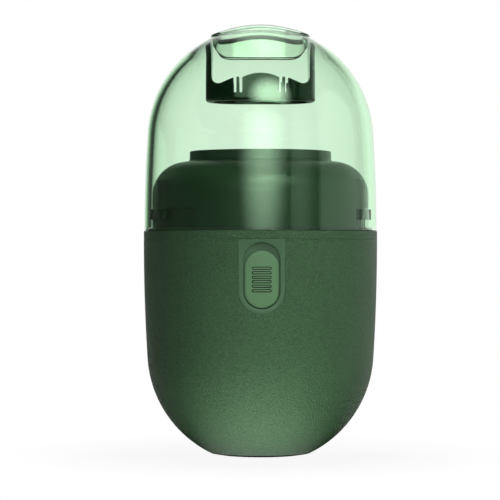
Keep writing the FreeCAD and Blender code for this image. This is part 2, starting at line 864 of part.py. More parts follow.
def battery_holder():
    """Cradle under the cell, screwed to the shell's boss."""
    body = new_body("battery_holder")
    inside = "crown_radius - shell_wall - 0.4"
    extrude(body, "XY_Plane", "boss_top", "holder_top - boss_top",
            [box_outline("-holder_half_length", "-holder_half_width",
                         "holder_half_length", "holder_half_width")])
    turn(body, [[
        (f"sqrt(({inside})^2 - (lower_centre - boss_top + 1)^2)", "boss_top - 1", inside, LEFT),
        (f"sqrt(({inside})^2 - (lower_centre - holder_top - 1)^2)", "holder_top + 1"),
        ("seam_radius", "holder_top + 1"),
        ("seam_radius", "boss_top - 1"),
    ]], kind="Groove")
    trough = extrude(body, "YZ_Plane", "0", "cell_length + 1",
                     circles=[("0", "cell_height", "cell_radius + 0.15")], kind="Pocket")
    trough.Midplane = True
    extrude(body, "XY_Plane", "8.2", "3", circles=[("0", "0", "1.2")], kind="Pocket")
    return body


def battery_tabs():
    """Nickel contacts at both ends of the cell."""
    body = new_body("battery_tabs")
    tab = extrude(body, "XY_Plane", "10", "14",
                  [box_outline("cell_length / 2 + 0.02", "-3", "cell_length / 2 + 0.42", "3")])
    polar(body, [tab], 2)
    return body


def usb_c_socket():
    """Metal shell of the charging socket, open to the back."""
    body = new_body("usb_c_socket")
    outer = oblong_outline("usb_half_length", "usb_half_height", y="usb_height")
    inner = oblong_outline("(usb_half_length - usb_wall)", "(usb_half_height - usb_wall)",
                           y="usb_height")
    extrude(body, "XZ_Plane", "-usb_mouth", "usb_mouth - charge_board_back", [outer, inner])
    extrude(body, "XZ_Plane", "-charge_board_back - 0.6", "0.6", [outer])
    return body


def light_pipe():
    """Clear pipe from the charging light to the back of the shell."""
    body = new_body("light_pipe")
    extrude(body, "XZ_Plane", "-pipe_end", "pipe_end - 23",
            circles=[("0", "led_height", "pipe_radius")])
    extrude(body, "XZ_Plane", "-27.5", "1", circles=[("0", "led_height", "1.8")])
    return body


def exhaust_foam():
    """Curved foam behind the vent holes."""
    section = box_outline("foam_outer - foam_thickness", "37.5", "foam_outer", "52")
    return turned_part("exhaust_foam", [section], angle="64", bearing="148")


# Dust cup

def crown_cut(body, radius, outwards):
    """Cut all of the crown's top that lies outside, or inside, a sphere round its centre."""
    edge_height = "upper_centre + sqrt(({0})^2 - 17^2)".format(radius)
    far = "upper_centre + crown_radius + 9" if outwards else "sleeve_bottom"
    turn(body, [[
        ("17", edge_height, radius, LEFT),
        ("0", f"upper_centre + {radius}"),
        ("0", far),
        ("17", far),
    ]], kind="Groove")


def dust_cup():
    """Clear dome, with its oblong inlet collar and four bayonet lugs."""
    body = new_body("dust_cup")
    inner_top = "upper_centre + crown_radius - dome_wall"
    turn(body, [[
        (dome_radius("dome_foot"), "dome_foot", DOME_BARREL, LEFT),
        (joint_radius(DOME_BARREL, "dome_foot_radius", "0"),
         f"upper_centre + {joint_rise(DOME_BARREL, DOME_RISE, '0')}", "crown_radius", LEFT),
        ("0", "upper_centre + crown_radius"),
        ("0", inner_top, "crown_radius - dome_wall", RIGHT),
        (joint_radius(DOME_BARREL, "dome_foot_radius", "dome_wall"),
         f"upper_centre + {joint_rise(DOME_BARREL, DOME_RISE, 'dome_wall')}",
         f"{DOME_BARREL} - dome_wall", RIGHT),
        (dome_radius("rebate_top", "dome_wall"), "rebate_top"),
        ("seal_rebate", "rebate_top"),
        ("seal_rebate", "dome_foot"),
    ]])
    lugs = []
    for side in (-1, 1):
        section = [box_outline("lug_inner", "lug_bottom",
                               "dome_foot_radius - dome_wall + lug_root", "lug_top")]
        start = f"{side} * lug_bearing - lug_angle / 2"
        lugs.append(turn(body, section, angle="lug_angle", bearing=start))
    polar(body, lugs, 2)
    extrude(body, "XY_Plane", "106", "12",
            [oblong_outline("rim_half_length", "rim_half_width")])
    crown_cut(body, "(crown_radius - dome_wall)", outwards=False)
    extrude(body, "XY_Plane", "collar_bottom", "13",
            [oblong_outline("collar_half_length", "collar_half_width")])
    crown_cut(body, "(crown_radius + rim_rise)", outwards=True)
    bore = oblong_outline("(collar_half_length - collar_wall)",
                          "(collar_half_width - collar_wall)")
    extrude(body, "XY_Plane", "118", "30", [bore], kind="Pocket")
    for side, bend in ((-1, RIGHT), (1, LEFT)):
        flat_end = f"{side} * collar_flat"
        end = f"{side} * (collar_half_length + 1)"
        corner = [
            (flat_end, "collar_bottom", "collar_corner_radius", bend),
            (f"{side} * collar_half_length", "collar_end_bottom"),
            (end, "collar_end_bottom"),
            (end, "collar_bottom - 1"),
            (flat_end, "collar_bottom - 1"),
        ]
        cut = extrude(body, "XZ_Plane", "0", "4 * collar_half_width", [corner], kind="Pocket")
        cut.Midplane = True
    return body


def window_outline():
    """Front view of the sleeve's window: sill, snap fingers between slits, and an arch."""
    left = [
        ("-window_half_width", "upper_centre + crown_radius"),
        ("-window_half_width", "window_sill + 2", "2", LEFT),
        ("-window_shoulder", "window_sill"),
        ("-finger_outer - finger_slit", "window_arch_foot"),
        ("-finger_outer - finger_slit", "finger_root"),
        ("-finger_outer", "finger_root"),
        ("-finger_outer", "finger_tip"),
        ("-finger_inner", "finger_tip"),
        ("-finger_inner", "finger_root"),
        ("-finger_inner + finger_slit", "finger_root"),
        ("-finger_inner + finger_slit", "window_arch_foot", "window_arch_radius", RIGHT),
    ]
    right = [(f"-({x})", y) for x, y in reversed([corner[:2] for corner in left])]
    shoulder = next(index for index, corner in enumerate(right) if "window_shoulder" in corner[0])
    right[shoulder] += ("2", LEFT)
    return left + right


def inlet_sleeve():
    """Dark sleeve round the collar, open below, with two ears that reach up to the dome."""
    body = new_body("inlet_sleeve")
    extrude(body, "XY_Plane", "sleeve_bottom", "16",
            [oblong_outline("sleeve_half_length", "sleeve_half_width")])
    sketch = new_sketch(body, "XY_Plane", "sleeve_bottom + 20")
    draw_outline(sketch, oblong_outline("(sleeve_half_length - sleeve_wall)",
                                        "(sleeve_half_width - sleeve_wall)"))
    bore = add_feature(body, "Pocket", sketch)
    bind(bore, "Length", "30")
    bottom = number("sleeve_bottom")
    inner_reach = number("sleeve_half_length - sleeve_wall + 0.1")
    round_edges(body, "sleeve_edge", lambda box: box.ZMax < bottom + 0.01
                and (box.XMax > inner_reach or box.XMin < -inner_reach
                     or abs(box.YMin) > number("sleeve_half_width - 0.1")))
    crown_cut(body, "(crown_radius - dome_wall - sleeve_gap)", outwards=True)
    window = extrude(body, "XZ_Plane", "0", "30", [window_outline()], kind="Pocket")
    window.Midplane = True
    return body


# Filter cartridge

def filter_frame():
    """Cage of the cartridge: foot and head rings, six ribs and a pull bar."""
    body = new_body("filter_frame")
    turn(body, [box_outline("media_inner - 0.5", "filter_seal_top", "cartridge_radius",
                            "frame_foot_top"),
                box_outline("frame_bore", "frame_head", "cartridge_radius", "cartridge_top")])
    rib = extrude(body, "XY_Plane", "frame_foot_top - 0.2", "frame_head - frame_foot_top + 0.4",
                  [box_outline("media_outer + 0.4", "-0.8", "cartridge_radius - 0.1", "0.8")])
    polar(body, [rib], 6)
    extrude(body, "XY_Plane", "cartridge_top - 0.8", "0.8",
            [box_outline("-frame_bore - 0.2", "-1.2", "frame_bore + 0.2", "1.2")])
    return body


def filter_seal():
    """Rubber ring under the cartridge."""
    return turned_part("filter_seal", [
        box_outline("seat_bore + 0.2", "filter_seat + 0.05", "cartridge_radius - 0.1",
                    "filter_seal_top")])


def filter_media():
    """Pleated paper ring, folded to and fro between its two radii."""
    outer = number("media_outer")
    inner = number("media_inner")
    paper = number("media_paper")
    folds = 2 * MEDIA_PLEATS

    def zigzag(near, far):
        points = []
        for fold in range(folds):
            radius = far if fold % 2 == 0 else near
            angle = 2 * math.pi * fold / folds
            points.append(FreeCAD.Vector(radius * math.cos(angle), radius * math.sin(angle), 0))
        return Part.Face(Part.Wire(Part.makePolygon(points + points[:1])))

    rim = zigzag(inner + paper, outer).cut(zigzag(inner, outer - paper))
    media = doc.addObject("Part::Feature", "filter_media")
    media.Label = "filter_media"
    low = number("frame_foot_top + 0.1")
    height = number("frame_head - 0.1") - low
    media.Shape = rim.extrude(FreeCAD.Vector(0, 0, height))
    media.Placement.Base = FreeCAD.Vector(0, 0, low)
    return media


def filter_mesh():
    """Perforated disc in the head ring, which stops lint."""
    body = new_body("filter_mesh")
    extrude(body, "XY_Plane", "frame_head + 0.1", "mesh_thickness",
            circles=[("0", "0", "frame_bore - 0.05")])
    for radius, count in MESH_RINGS:
        hole = extrude(body, "XY_Plane", "frame_head + 1", "2",
                       circles=[(str(radius), "0", str(MESH_HOLE_RADIUS))], kind="Pocket")
        polar(body, [hole], count)
    return body


SUBPARTS = [
    outer_shell(),
    collar_ring(),
    switch_panel(),
    filter_hood(),
    motor_chassis(),
    fan_cover(),
    base_pad(),
    base_screw(),
    screw_ring("deck_screws", "deck_screw_circle", 4, "1.5", "deck_top", "deck_top + 1.2",
               "deck_screw_bore - 0.05", "52"),
    screw_ring("motor_screws", "motor_screw_circle", 2, "1.6", "deck_top - 1", "deck_top - 0.1",
               "0.75", "52.4"),
    slider_button(),
    slider_carrier(),
    switch_actuator(),
    slide_switch(),
    box_part("main_pcb", ("-12", "-board_front", "34"),
             ("12", "board_thickness - board_front", "52")),
    impeller(),
    cylinder_part("motor_shaft", "shaft_radius", "motor_bottom - 3.2", "blade_top - 0.3"),
    motor_can(),
    motor_bushes(),
    motor_end_cap(),
    motor_terminals(),
    motor_magnets(),
    motor_armature(),
    motor_commutator(),
    battery_cell(),
    battery_holder(),
    battery_tabs(),
    box_part("charge_pcb", ("-9", "charge_board_back - board_thickness", "14"),
             ("9", "charge_board_back", "36")),
    usb_c_socket(),
    box_part("usb_c_tongue", ("-3.35", "charge_board_back + 0.6", "usb_height - 0.35"),
             ("3.35", "usb_mouth - 1", "usb_height + 0.35")),
    box_part("charge_led", ("-0.8", "charge_board_back", "led_height - 0.4"),
             ("0.8", "charge_board_back + 0.8", "led_height + 0.4")),
    light_pipe(),
    exhaust_foam(),
    turned_part("cup_seal", [box_outline("seal_inner", "dome_foot", "seal_outer", "seal_top")]),
    dust_cup(),
    inlet_sleeve(),
    filter_frame(),
    filter_seal(),
    filter_media(),
    filter_mesh(),
]

doc.recompute()
failed = [item.Label for item in doc.Objects if {"Invalid", "Error"} & set(item.State)]
failed += [item.Label for item in SUBPARTS if item.Shape.isNull() or not item.Shape.isValid()]
if failed:
    raise RuntimeError("not built: " + ", ".join(failed))

os.makedirs("parts", exist_ok=True)
for item in SUBPARTS:
    item.Shape.exportStep(f"parts/{item.Label}.step")
    print(f"{item.Label}: {item.Shape.Volume:.1f} mm3, {len(item.Shape.Solids)} solids")
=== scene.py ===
import json
import math

import bmesh
import bpy
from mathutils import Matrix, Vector


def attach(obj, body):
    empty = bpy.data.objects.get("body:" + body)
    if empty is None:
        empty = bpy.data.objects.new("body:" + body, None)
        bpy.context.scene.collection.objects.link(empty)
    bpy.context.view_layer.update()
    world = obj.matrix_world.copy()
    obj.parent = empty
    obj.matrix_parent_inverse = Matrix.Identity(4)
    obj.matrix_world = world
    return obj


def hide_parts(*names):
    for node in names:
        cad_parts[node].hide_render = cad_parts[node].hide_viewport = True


# Desktop capsule vacuum cleaner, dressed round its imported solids. Sizes are in millimetres.
# Bearings round the axis are in degrees, from the front (-Y) towards +X.

MM = 0.001
TURN = 2 * math.pi

# Each half of the capsule has its widest radius, "foot", at the height "base", and a round end of
# radius CROWN about the height "centre".
CROWN = 30.07
SEAM = 57.0
BAND_TOP = 59.2
BODY = {"foot": 31.0, "base": SEAM, "centre": 27.36}
DOME = {"foot": 30.87, "base": BAND_TOP, "centre": 83.5}

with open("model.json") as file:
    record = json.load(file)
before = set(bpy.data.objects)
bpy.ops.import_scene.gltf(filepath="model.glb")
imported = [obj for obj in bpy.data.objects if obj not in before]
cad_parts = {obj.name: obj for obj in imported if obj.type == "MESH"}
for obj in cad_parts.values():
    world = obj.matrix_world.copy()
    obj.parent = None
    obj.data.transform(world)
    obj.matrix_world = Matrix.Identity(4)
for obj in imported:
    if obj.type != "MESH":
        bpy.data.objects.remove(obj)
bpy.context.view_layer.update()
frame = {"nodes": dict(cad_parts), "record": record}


# Angles and profiles

def spread(start, end, count):
    """Evenly spaced numbers from start to end, both ends included."""
    return [start + (end - start) * step / (count - 1) for step in range(count)]


def round_about(count, extra=()):
    """Angles of a full turn: extra ones, and evenly spaced ones that aren't close to those."""
    even = [TURN * step / count for step in range(count)]
    extra = [angle % TURN for angle in extra]
    gap = 0.25 * TURN / count
    kept = [angle for angle in even if all(abs(angle - other) > gap for other in extra)]
    return sorted(kept + extra)


ROUND = round_about(256)


def bearing_angle(bearing):
    """Angle from +X, in radians, of a bearing."""
    return math.radians(bearing - 90)


def skin_radius(height, half, sink=0.0):
    """Radius of the body or the dome at a height, some way under its skin."""
    rise = abs(half["centre"] - half["base"])
    reach = abs(height - half["base"])
    barrel = (half["foot"] ** 2 + rise ** 2 - CROWN ** 2) / (2 * (half["foot"] - CROWN))
    if reach <= rise * (1 + (CROWN - sink) / (barrel - CROWN)):
        return half["foot"] - barrel + math.sqrt((barrel - sink) ** 2 - reach ** 2)
    return math.sqrt(max((CROWN - sink) ** 2 - (reach - rise) ** 2, 0.0))


def crown_height(x, y, radius):
    """Height of a sphere round the dome's centre above a point of the plan."""
    return DOME["centre"] + math.sqrt(radius ** 2 - x * x - y * y)


def rounded(corners, steps=4, closed=True):
    """Path through corners (x, y, fillet radius); a corner with no radius stays sharp."""
    path = []
    count = len(corners)
    for index, (x, y, *radius) in enumerate(corners):
        here = Vector((x, y))
        inner = closed or 0 < index < count - 1
        if not radius or not inner:
            path.append((x, y))
            continue
        before = (Vector(corners[index - 1][:2]) - here).normalized()
        after = (Vector(corners[(index + 1) % count][:2]) - here).normalized()
        half_angle = before.angle(after) / 2
        centre = here + (before + after).normalized() * (radius[0] / math.sin(half_angle))
        first = here + before * (radius[0] / math.tan(half_angle)) - centre
        last = here + after * (radius[0] / math.tan(half_angle)) - centre
        for share in spread(0.0, 1.0, steps + 1):
            point = centre + first.slerp(last, share) * radius[0]
            path.append((point.x, point.y))
    return path


# Shapes in front view, each as a test of whether a point lies inside

def oblong_shape(half_width, bottom, top):
    """Upright oblong with round ends."""
    low, high = bottom + half_width, top - half_width
    return lambda x, z: math.hypot(x, z - min(max(z, low), high)) <= half_width


def flat_oblong_shape(half_length, half_width, height):
    """Oblong with round ends that lies level at a height."""
    upright = oblong_shape(half_width, -half_length, half_length)
    return lambda x, z: upright(z - height, x)


def shield_shape(half_width, bottom, top):
    """Straight-sided shield with a half-round foot."""
    shoulder = bottom + half_width

    def inside(x, z):
        if z >= shoulder:
            return abs(x) <= half_width and z <= top
        return math.hypot(x, z - shoulder) <= half_width
    return inside


def box_shape(half_width, bottom, top):
    """Upright rectangle."""
    return lambda x, z: abs(x) <= half_width and bottom <= z <= top


def grown(shape, size, extra):
    """Shape of a size (half width, bottom, top), made larger all round."""
    half_width, bottom, top = size
    return shape(half_width + extra, bottom - extra, top + extra)


def outline(shape, middle, angles, ray_length=40.0, halvings=34):
    """Points (x, z) where rays from the middle leave a shape."""
    points = []
    for angle in angles:
        near, far = 0.0, ray_length
        for _ in range(halvings):
            reach = (near + far) / 2
            x, z = reach * math.cos(angle), middle + reach * math.sin(angle)
            near, far = (reach, far) if shape(x, z) else (near, reach)
        points.append((near * math.cos(angle), middle + near * math.sin(angle)))
    return points


def toward(points, middle, share):
    """Outline drawn in towards its middle height, down to a point for a share of 0."""
    return [(x * share, middle + (z - middle) * share) for x, z in points]


# Rings of points in space

def on_skin(points, sink, side=-1):
    """Outline laid on the body's skin at a depth, on its front (-1) or its back (1)."""
    ring = []
    for x, z in points:
        radius = skin_radius(z, BODY, sink)
        ring.append((x, side * math.sqrt(max(radius ** 2 - x * x, 0.0)), z))
    return ring


def flat_ring(points, y):
    """Outline laid in an upright plane."""
    return [(x, y, z) for x, z in points]


def around(radius, angle, height):
    """Point at an angle about the axis."""
    return (radius * math.cos(angle), radius * math.sin(angle), height)


def level_ring(radius, height):
    """Ring of points about the axis."""
    return [around(radius, angle, height) for angle in ROUND]


def lathe(section, closed=True):
    """Shell of a section (radius, height) turned about the axis."""
    return [level_ring(radius, height) for radius, height in section], closed


def drill(bearing, height, steps):
    """Round cutter along a bearing: (distance from the axis, radius) for each ring."""
    along = Vector((math.cos(bearing_angle(bearing)), math.sin(bearing_angle(bearing)), 0))
    across = Vector((-along.y, along.x, 0))
    rings = []
    for distance, radius in [(steps[0][0], 0.0), *steps, (steps[-1][0], 0.0)]:
        centre = along * distance + Vector((0, 0, height))
        rings.append([centre + across * (radius * math.cos(angle))
                      + Vector((0, 0, radius * math.sin(angle))) for angle in round_about(20)])
    return rings, False


# Meshes

def linked(name, data):
    """New object in the scene."""
    item = bpy.data.objects.new(name, data)
    bpy.context.scene.collection.objects.link(item)
    return item


def smooth_piece(name, mesh):
    """Object from a mesh, with merged points, outward faces and sharp edges marked."""
    merge_within, sliver, sharp_angle = 0.002, 0.001, 32
    work = bmesh.new()
    work.from_mesh(mesh)
    bmesh.ops.remove_doubles(work, verts=work.verts, dist=merge_within * MM)
    bmesh.ops.dissolve_degenerate(work, edges=work.edges, dist=sliver * MM)
    bmesh.ops.recalc_face_normals(work, faces=work.faces)
    for face in work.faces:
        face.smooth = True
    work.to_mesh(mesh)
    work.free()
    mesh.set_sharp_from_angle(angle=math.radians(sharp_angle))
    return linked(name, mesh)


def lofted(*lofts):
    """Mesh of shells, each lofted through rings of points: (rings, whether it closes on itself)."""
    points, faces = [], []
    for rings, closed in lofts:
        count, start = len(rings[0]), len(points)
        points += [Vector(point) * MM for ring in rings for point in ring]
        for level in range(len(rings) if closed else len(rings) - 1):
            here = start + level * count
            above = start + (level + 1) % len(rings) * count
            for step in range(count):
                after = (step + 1) % count
                faces.append((here + step, here + after, above + after, above + step))
    mesh = bpy.data.meshes.new("loft")
    mesh.from_pydata(points, [], faces)
    return mesh


def prism(points, near, far):
    """Mesh of an outline (x, z) drawn out along Y."""
    count = len(points)
    corners = [Vector((x, y, z)) * MM for y in (near, far) for x, z in points]
    sides = [(step, (step + 1) % count, count + (step + 1) % count, count + step)
             for step in range(count)]
    mesh = bpy.data.meshes.new("prism")
    mesh.from_pydata(corners, [], sides + [tuple(range(count)), tuple(range(count, 2 * count))])
    return mesh


def cut_out(name, mesh, cutter_mesh):
    """Object from a mesh, with every shell of another mesh cut out of it."""
    body = smooth_piece("uncut", mesh)
    cutter = smooth_piece("cutter", cutter_mesh)
    modifier = body.modifiers.new("openings", "BOOLEAN")
    modifier.object = cutter
    modifier.solver = "EXACT"
    result = bpy.data.meshes.new_from_object(
        body.evaluated_get(bpy.context.evaluated_depsgraph_get()))
    for spare in (body, cutter):
        bpy.data.objects.remove(spare)
    return smooth_piece(name, result)


# Node trees

class Nodes:
    """Node tree of one material or world."""

    def __init__(self, owner):
        owner.use_nodes = True
        self.tree = owner.node_tree
        self.tree.nodes.clear()

    def feed(self, socket, value):
        """Link an input to another node's output, or set its value."""
        if isinstance(value, bpy.types.NodeSocket):
            self.tree.links.new(value, socket)
        else:
            socket.default_value = value

    def add(self, kind, inputs=None, **settings):
        item = self.tree.nodes.new("ShaderNode" + kind)
        for key, value in settings.items():
            setattr(item, key, value)
        for key, value in (inputs or {}).items():
            self.feed(item.inputs[key], value)
        return item

    def local(self):
        """Place on the object, in metres."""
        return self.add("TexCoord").outputs["Object"]

    def noise(self, spot, scale, detail, roughness=0.5):
        """Noise with a scale in waves per metre."""
        return self.add("TexNoise", {"Vector": spot, "Scale": scale, "Detail": detail,
                                     "Roughness": roughness}).outputs["Fac"]

    def between(self, value, low, high, start=0.35, end=0.65, **settings):
        """Number that goes from low to high as a value goes from start to end."""
        return self.add("MapRange", {"Value": value, "From Min": start, "From Max": end,
                                     "To Min": low, "To Max": high}, **settings).outputs["Result"]

    def blend(self, share, first, second):
        """Colour that goes from the first to the second with a share."""
        return self.add("Mix", {0: share, 6: first, 7: second}, data_type="RGBA").outputs[2]

    def math(self, operation, first, second=0.0):
        return self.add("Math", {0: first, 1: second}, operation=operation).outputs[0]

    def length(self, vector):
        return self.add("VectorMath", {0: vector}, operation="LENGTH").outputs["Value"]

    def seen_through(self, path, bounces):
        """Whether a ray comes through clear plastic and a count of its bounces is 0."""
        straight = self.math("LESS_THAN", bounces, 0.5)
        return self.math("MULTIPLY", path["Is Transmission Ray"], straight)

    def bump(self, height, depth):
        """Normal for a pattern that is some millimetres deep."""
        return self.add("Bump", {"Height": height, "Distance": depth * MM}).outputs["Normal"]

    def shader(self, kind, **inputs):
        """Output of a shader; an underscore in an input's name stands for a space."""
        named = {key.replace("_", " "): value for key, value in inputs.items()}
        return self.add(kind, named).outputs[0]

    def mix_shaders(self, share, first, second):
        return self.add("MixShader", {0: share, 1: first, 2: second}).outputs[0]

    def output(self, surface, kind="OutputMaterial", **inputs):
        self.add(kind, {"Surface": surface, **inputs})


# Materials. Grain depths and sizes are in millimetres, noise scales in waves per metre.

WHITE = (1.0, 1.0, 1.0, 1.0)
GREEN_SHEEN = (0.75, 1.0, 0.77, 1.0)
DOME_SHEEN = (0.72, 1.0, 0.75, 1.0)


MATERIALS = {}


def new_material(name):
    """Node tree of a new material, which dress() finds by its name."""
    material = bpy.data.materials.new(name)
    MATERIALS[name] = material
    return Nodes(material)


def dress(item, material_name):
    """Give an object one material and no other."""
    item.data.materials.clear()
    item.data.materials.append(MATERIALS[material_name])


def tint(*screen_values):
    """Colour given in 0-255 screen values."""
    shares = [value / 255 for value in screen_values]
    return tuple(share / 12.92 if share <= 0.04045 else ((share + 0.055) / 1.055) ** 2.4
                 for share in shares) + (1.0,)


def shade(colour, factor):
    """Colour made lighter or darker."""
    return tuple(min(part * factor, 1.0) for part in colour[:3]) + (1.0,)


def moulded(name, colour, roughness, grain, grain_size=0.3, speckle=0.1, metallic=0.0,
            specular=0.5, sheen=WHITE):
    """Moulded or metal surface with grain, uneven gloss, faint scuffs and slight mottling."""
    mottle_scale, unevenness, speckle_share = 90.0, 0.03, 0.5
    scuff_scale, scuff_span, scuff_dulling = 1600.0, (0.58, 0.72), 0.06
    scuff_stretch, scuff_turn = (1.0, 1.0, 0.12), (0.5, 0.35, 0.0)
    nodes = new_material(name)
    spot = nodes.local()
    broad = nodes.noise(spot, mottle_scale, 3.0)
    fine = nodes.noise(spot, 1 / MM / grain_size, 1.0)
    stretched = nodes.add("Mapping", {"Vector": spot, "Scale": scuff_stretch,
                                      "Rotation": scuff_turn}).outputs["Vector"]
    scratches = nodes.noise(stretched, scuff_scale, 2.0, 0.4)
    mottled = nodes.blend(nodes.between(broad, 0.0, 1.0), shade(colour, 1 - unevenness),
                          shade(colour, 1 + unevenness))
    speckled = nodes.blend(nodes.between(fine, 0.0, speckle_share), mottled,
                           shade(colour, 1 - speckle))
    gloss = nodes.between(broad, roughness - unevenness, roughness + unevenness)
    worn = nodes.math("ADD", gloss, nodes.between(scratches, 0.0, scuff_dulling, *scuff_span))
    nodes.output(nodes.shader("BsdfPrincipled", Base_Color=speckled, Roughness=worn,
                              Metallic=metallic, Specular_IOR_Level=specular,
                              Specular_Tint=sheen, Normal=nodes.bump(fine, grain)))


def clear(name, tinge, density, roughness=0.015, sheen=WHITE):
    """Clear plastic that takes its colour with thickness and lets the lamps through."""
    smear_scale, smear_span, clean_share = 140.0, (0.4, 0.7), 0.4
    nodes = new_material(name)
    smears = nodes.noise(nodes.local(), smear_scale, 4.0, 0.6)
    smeared = nodes.between(smears, roughness * clean_share, roughness, *smear_span)
    glass = nodes.shader("BsdfPrincipled", Base_Color=WHITE, Transmission_Weight=1.0,
                         IOR=1.5, Specular_Tint=sheen, Roughness=smeared)
    lit = nodes.shader("BsdfTransparent", Color=(0.95, 0.97, 0.95, 1.0))
    shadow = nodes.add("LightPath").outputs["Is Shadow Ray"]
    nodes.output(nodes.mix_shaders(shadow, glass, lit),
                 Volume=nodes.shader("VolumeAbsorption", Color=tinge, Density=density))


def paper():
    """Fibre paper."""
    nodes = new_material("filter_paper")
    fibre_scale, fibre_depth = 3500.0, 0.03
    fibres = nodes.noise(nodes.local(), fibre_scale, 5.0, 0.7)
    colour = nodes.blend(nodes.between(fibres, 0.0, 1.0), tint(236, 234, 224), tint(214, 212, 200))
    nodes.output(nodes.shader("BsdfPrincipled", Base_Color=colour, Roughness=0.85,
                              Normal=nodes.bump(fibres, fibre_depth)))


def foam():
    """Open-cell foam."""
    nodes = new_material("foam")
    cell_scale, cell_depth, cell_span = 2200.0, 0.25, (0.2, 0.6)
    cells = nodes.add("TexVoronoi", {"Vector": nodes.local(), "Scale": cell_scale})
    distance = cells.outputs["Distance"]
    colour = nodes.blend(nodes.between(distance, 0.0, 1.0, *cell_span), tint(22, 24, 22),
                         tint(60, 64, 60))
    nodes.output(nodes.shader("BsdfPrincipled", Base_Color=colour, Roughness=0.95,
                              Normal=nodes.bump(distance, cell_depth)))


moulded("grained_green", tint(62, 101, 63), 0.43, grain=0.46, grain_size=0.33, speckle=0.95,
        sheen=GREEN_SHEEN)
moulded("smooth_green", tint(91, 131, 91), 0.38, grain=0.008, grain_size=0.2, sheen=GREEN_SHEEN)
moulded("panel_green", tint(65, 100, 68), 0.42, grain=0.008, grain_size=0.2, sheen=GREEN_SHEEN)
moulded("satin_green", tint(12, 34, 15), 0.4, grain=0.05, grain_size=0.4, specular=0.9,
        sheen=GREEN_SHEEN)
moulded("gloss_green", tint(4, 26, 8), 0.14, grain=0.004, sheen=GREEN_SHEEN)
clear("clear_green", (0.05, 0.97, 0.13, 1.0), 100.0, sheen=DOME_SHEEN)
moulded("silicone", tint(31, 51, 33), 0.6, grain=0.01, grain_size=0.2)
moulded("pad_rubber", tint(52, 66, 52), 0.7, grain=0.03, grain_size=0.2)
moulded("dark_plastic", tint(34, 38, 34), 0.5, grain=0.02)
moulded("fan_plastic", tint(226, 226, 220), 0.4, grain=0.008)
paper()
moulded("steel_mesh", tint(196, 196, 194), 0.32, grain=0.006, metallic=1.0)
moulded("steel", tint(200, 200, 200), 0.28, grain=0.006, metallic=1.0)
moulded("bronze", tint(196, 150, 88), 0.34, grain=0.006, metallic=1.0)
moulded("ferrite", tint(60, 60, 64), 0.6, grain=0.02, metallic=0.3)
moulded("circuit_board", tint(22, 88, 44), 0.35, grain=0.01, grain_size=1.2)
moulded("cell_wrap", tint(60, 104, 168), 0.25, grain=0.006, grain_size=2.0)
clear("clear_plastic", (0.9, 0.95, 0.9, 1.0), 60.0, roughness=0.08)
foam()


def place(item, body, slot, *nodes, finish=None):
    """Give a piece its body, the solids it stands for, its slot and that or another finish."""
    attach(item, body)
    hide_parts(*nodes)
    dress(item, finish or slot)


# The inlet's oblong plan

INLET_STRAIGHT = 5.85
RIM_HALF = 7.3


def oblong_spots(angles, straight):
    """For each angle, the spot on the inlet's middle line and the direction out from it."""
    spots = []
    for angle in angles:
        across, along = math.sin(angle), math.cos(angle)
        if abs(across) > 1e-9 and abs(RIM_HALF * along / across) <= straight:
            spots.append((RIM_HALF * along / abs(across), 0.0, math.copysign(1.0, across)))
            continue
        end = math.copysign(straight, along)
        reach = end * along + math.sqrt(RIM_HALF ** 2 - (end * across) ** 2)
        x, y = reach * along - end, reach * across
        spots.append((end, x / RIM_HALF, y / RIM_HALF))
    return spots


INLET_SPOTS = oblong_spots(ROUND, INLET_STRAIGHT)


def oblong_ring(half_width, spots=INLET_SPOTS):
    """Plan of the oblong that lies half_width out from the inlet's middle line."""
    return [(start + out_x * half_width, out_y * half_width) for start, out_x, out_y in spots]


def lifted(plan, radius, drop=0.0):
    """Plan laid on a sphere round the dome's centre, or some way below it."""
    return [(x, y, crown_height(x, y, radius) - drop) for x, y in plan]


# Dust cup

DOME_BOTTOM = 59.3
DOME_WALL = 1.8
DOME_INSIDE = CROWN - DOME_WALL
THINNING = 0.5    # of the wall round the inlet

MOUTH_HALF = 5.25
RIM_RISE = 0.6
RIM_EASE = 0.08
COLLAR_HALF = 5.85
LIP_RADIUS = 0.4


def collar_bottom(x, y):
    """Height of the inlet collar's lip, which slants up to the back and curls up at its ends."""
    height, slant, curl, curl_start = 105.03, 0.08, 0.0156, 7.0
    return height + slant * y + curl * max(abs(x) - curl_start, 0.0) ** 3


def collar_level(half_width, rise, from_top=0.0):
    """Ring of the collar above its lip, or a share of the way from there up to the mouth."""
    mouth = CROWN + 0.4
    return [(x, y, (1 - from_top) * (collar_bottom(x, y) + rise)
             + from_top * crown_height(x, y, mouth)) for x, y in oblong_ring(half_width)]


def dome_side(sink, heights):
    """Rings of the dome's side, some way under its skin."""
    return [level_ring(skin_radius(height, DOME, sink), height) for height in heights]


def dome_cap(radius, joint_rise, circle):
    """Rings of the round end, from the side's joint, some way over its centre, to a circle."""
    return [level_ring(radius * math.cos(tilt), DOME["centre"] + radius * math.sin(tilt))
            for tilt in spread(math.asin(joint_rise / radius), math.acos(circle / radius), 14)]


def dome_shoulder(radius, circle, half_width, swell=0.0):
    """Rings that change from a circle of the plan to an oblong, and swell on the way."""
    widening = 1.6
    rings = []
    for share in spread(1.0, 0.0, 10)[1:]:
        plan = [((1 - share) * x + share * circle * math.cos(angle),
                 (1 - share) * y + share * circle * math.sin(angle))
                for (x, y), angle in zip(oblong_ring(half_width + widening * share), ROUND)]
        rings.append(lifted(plan, radius + swell * (1 - share)))
    return rings


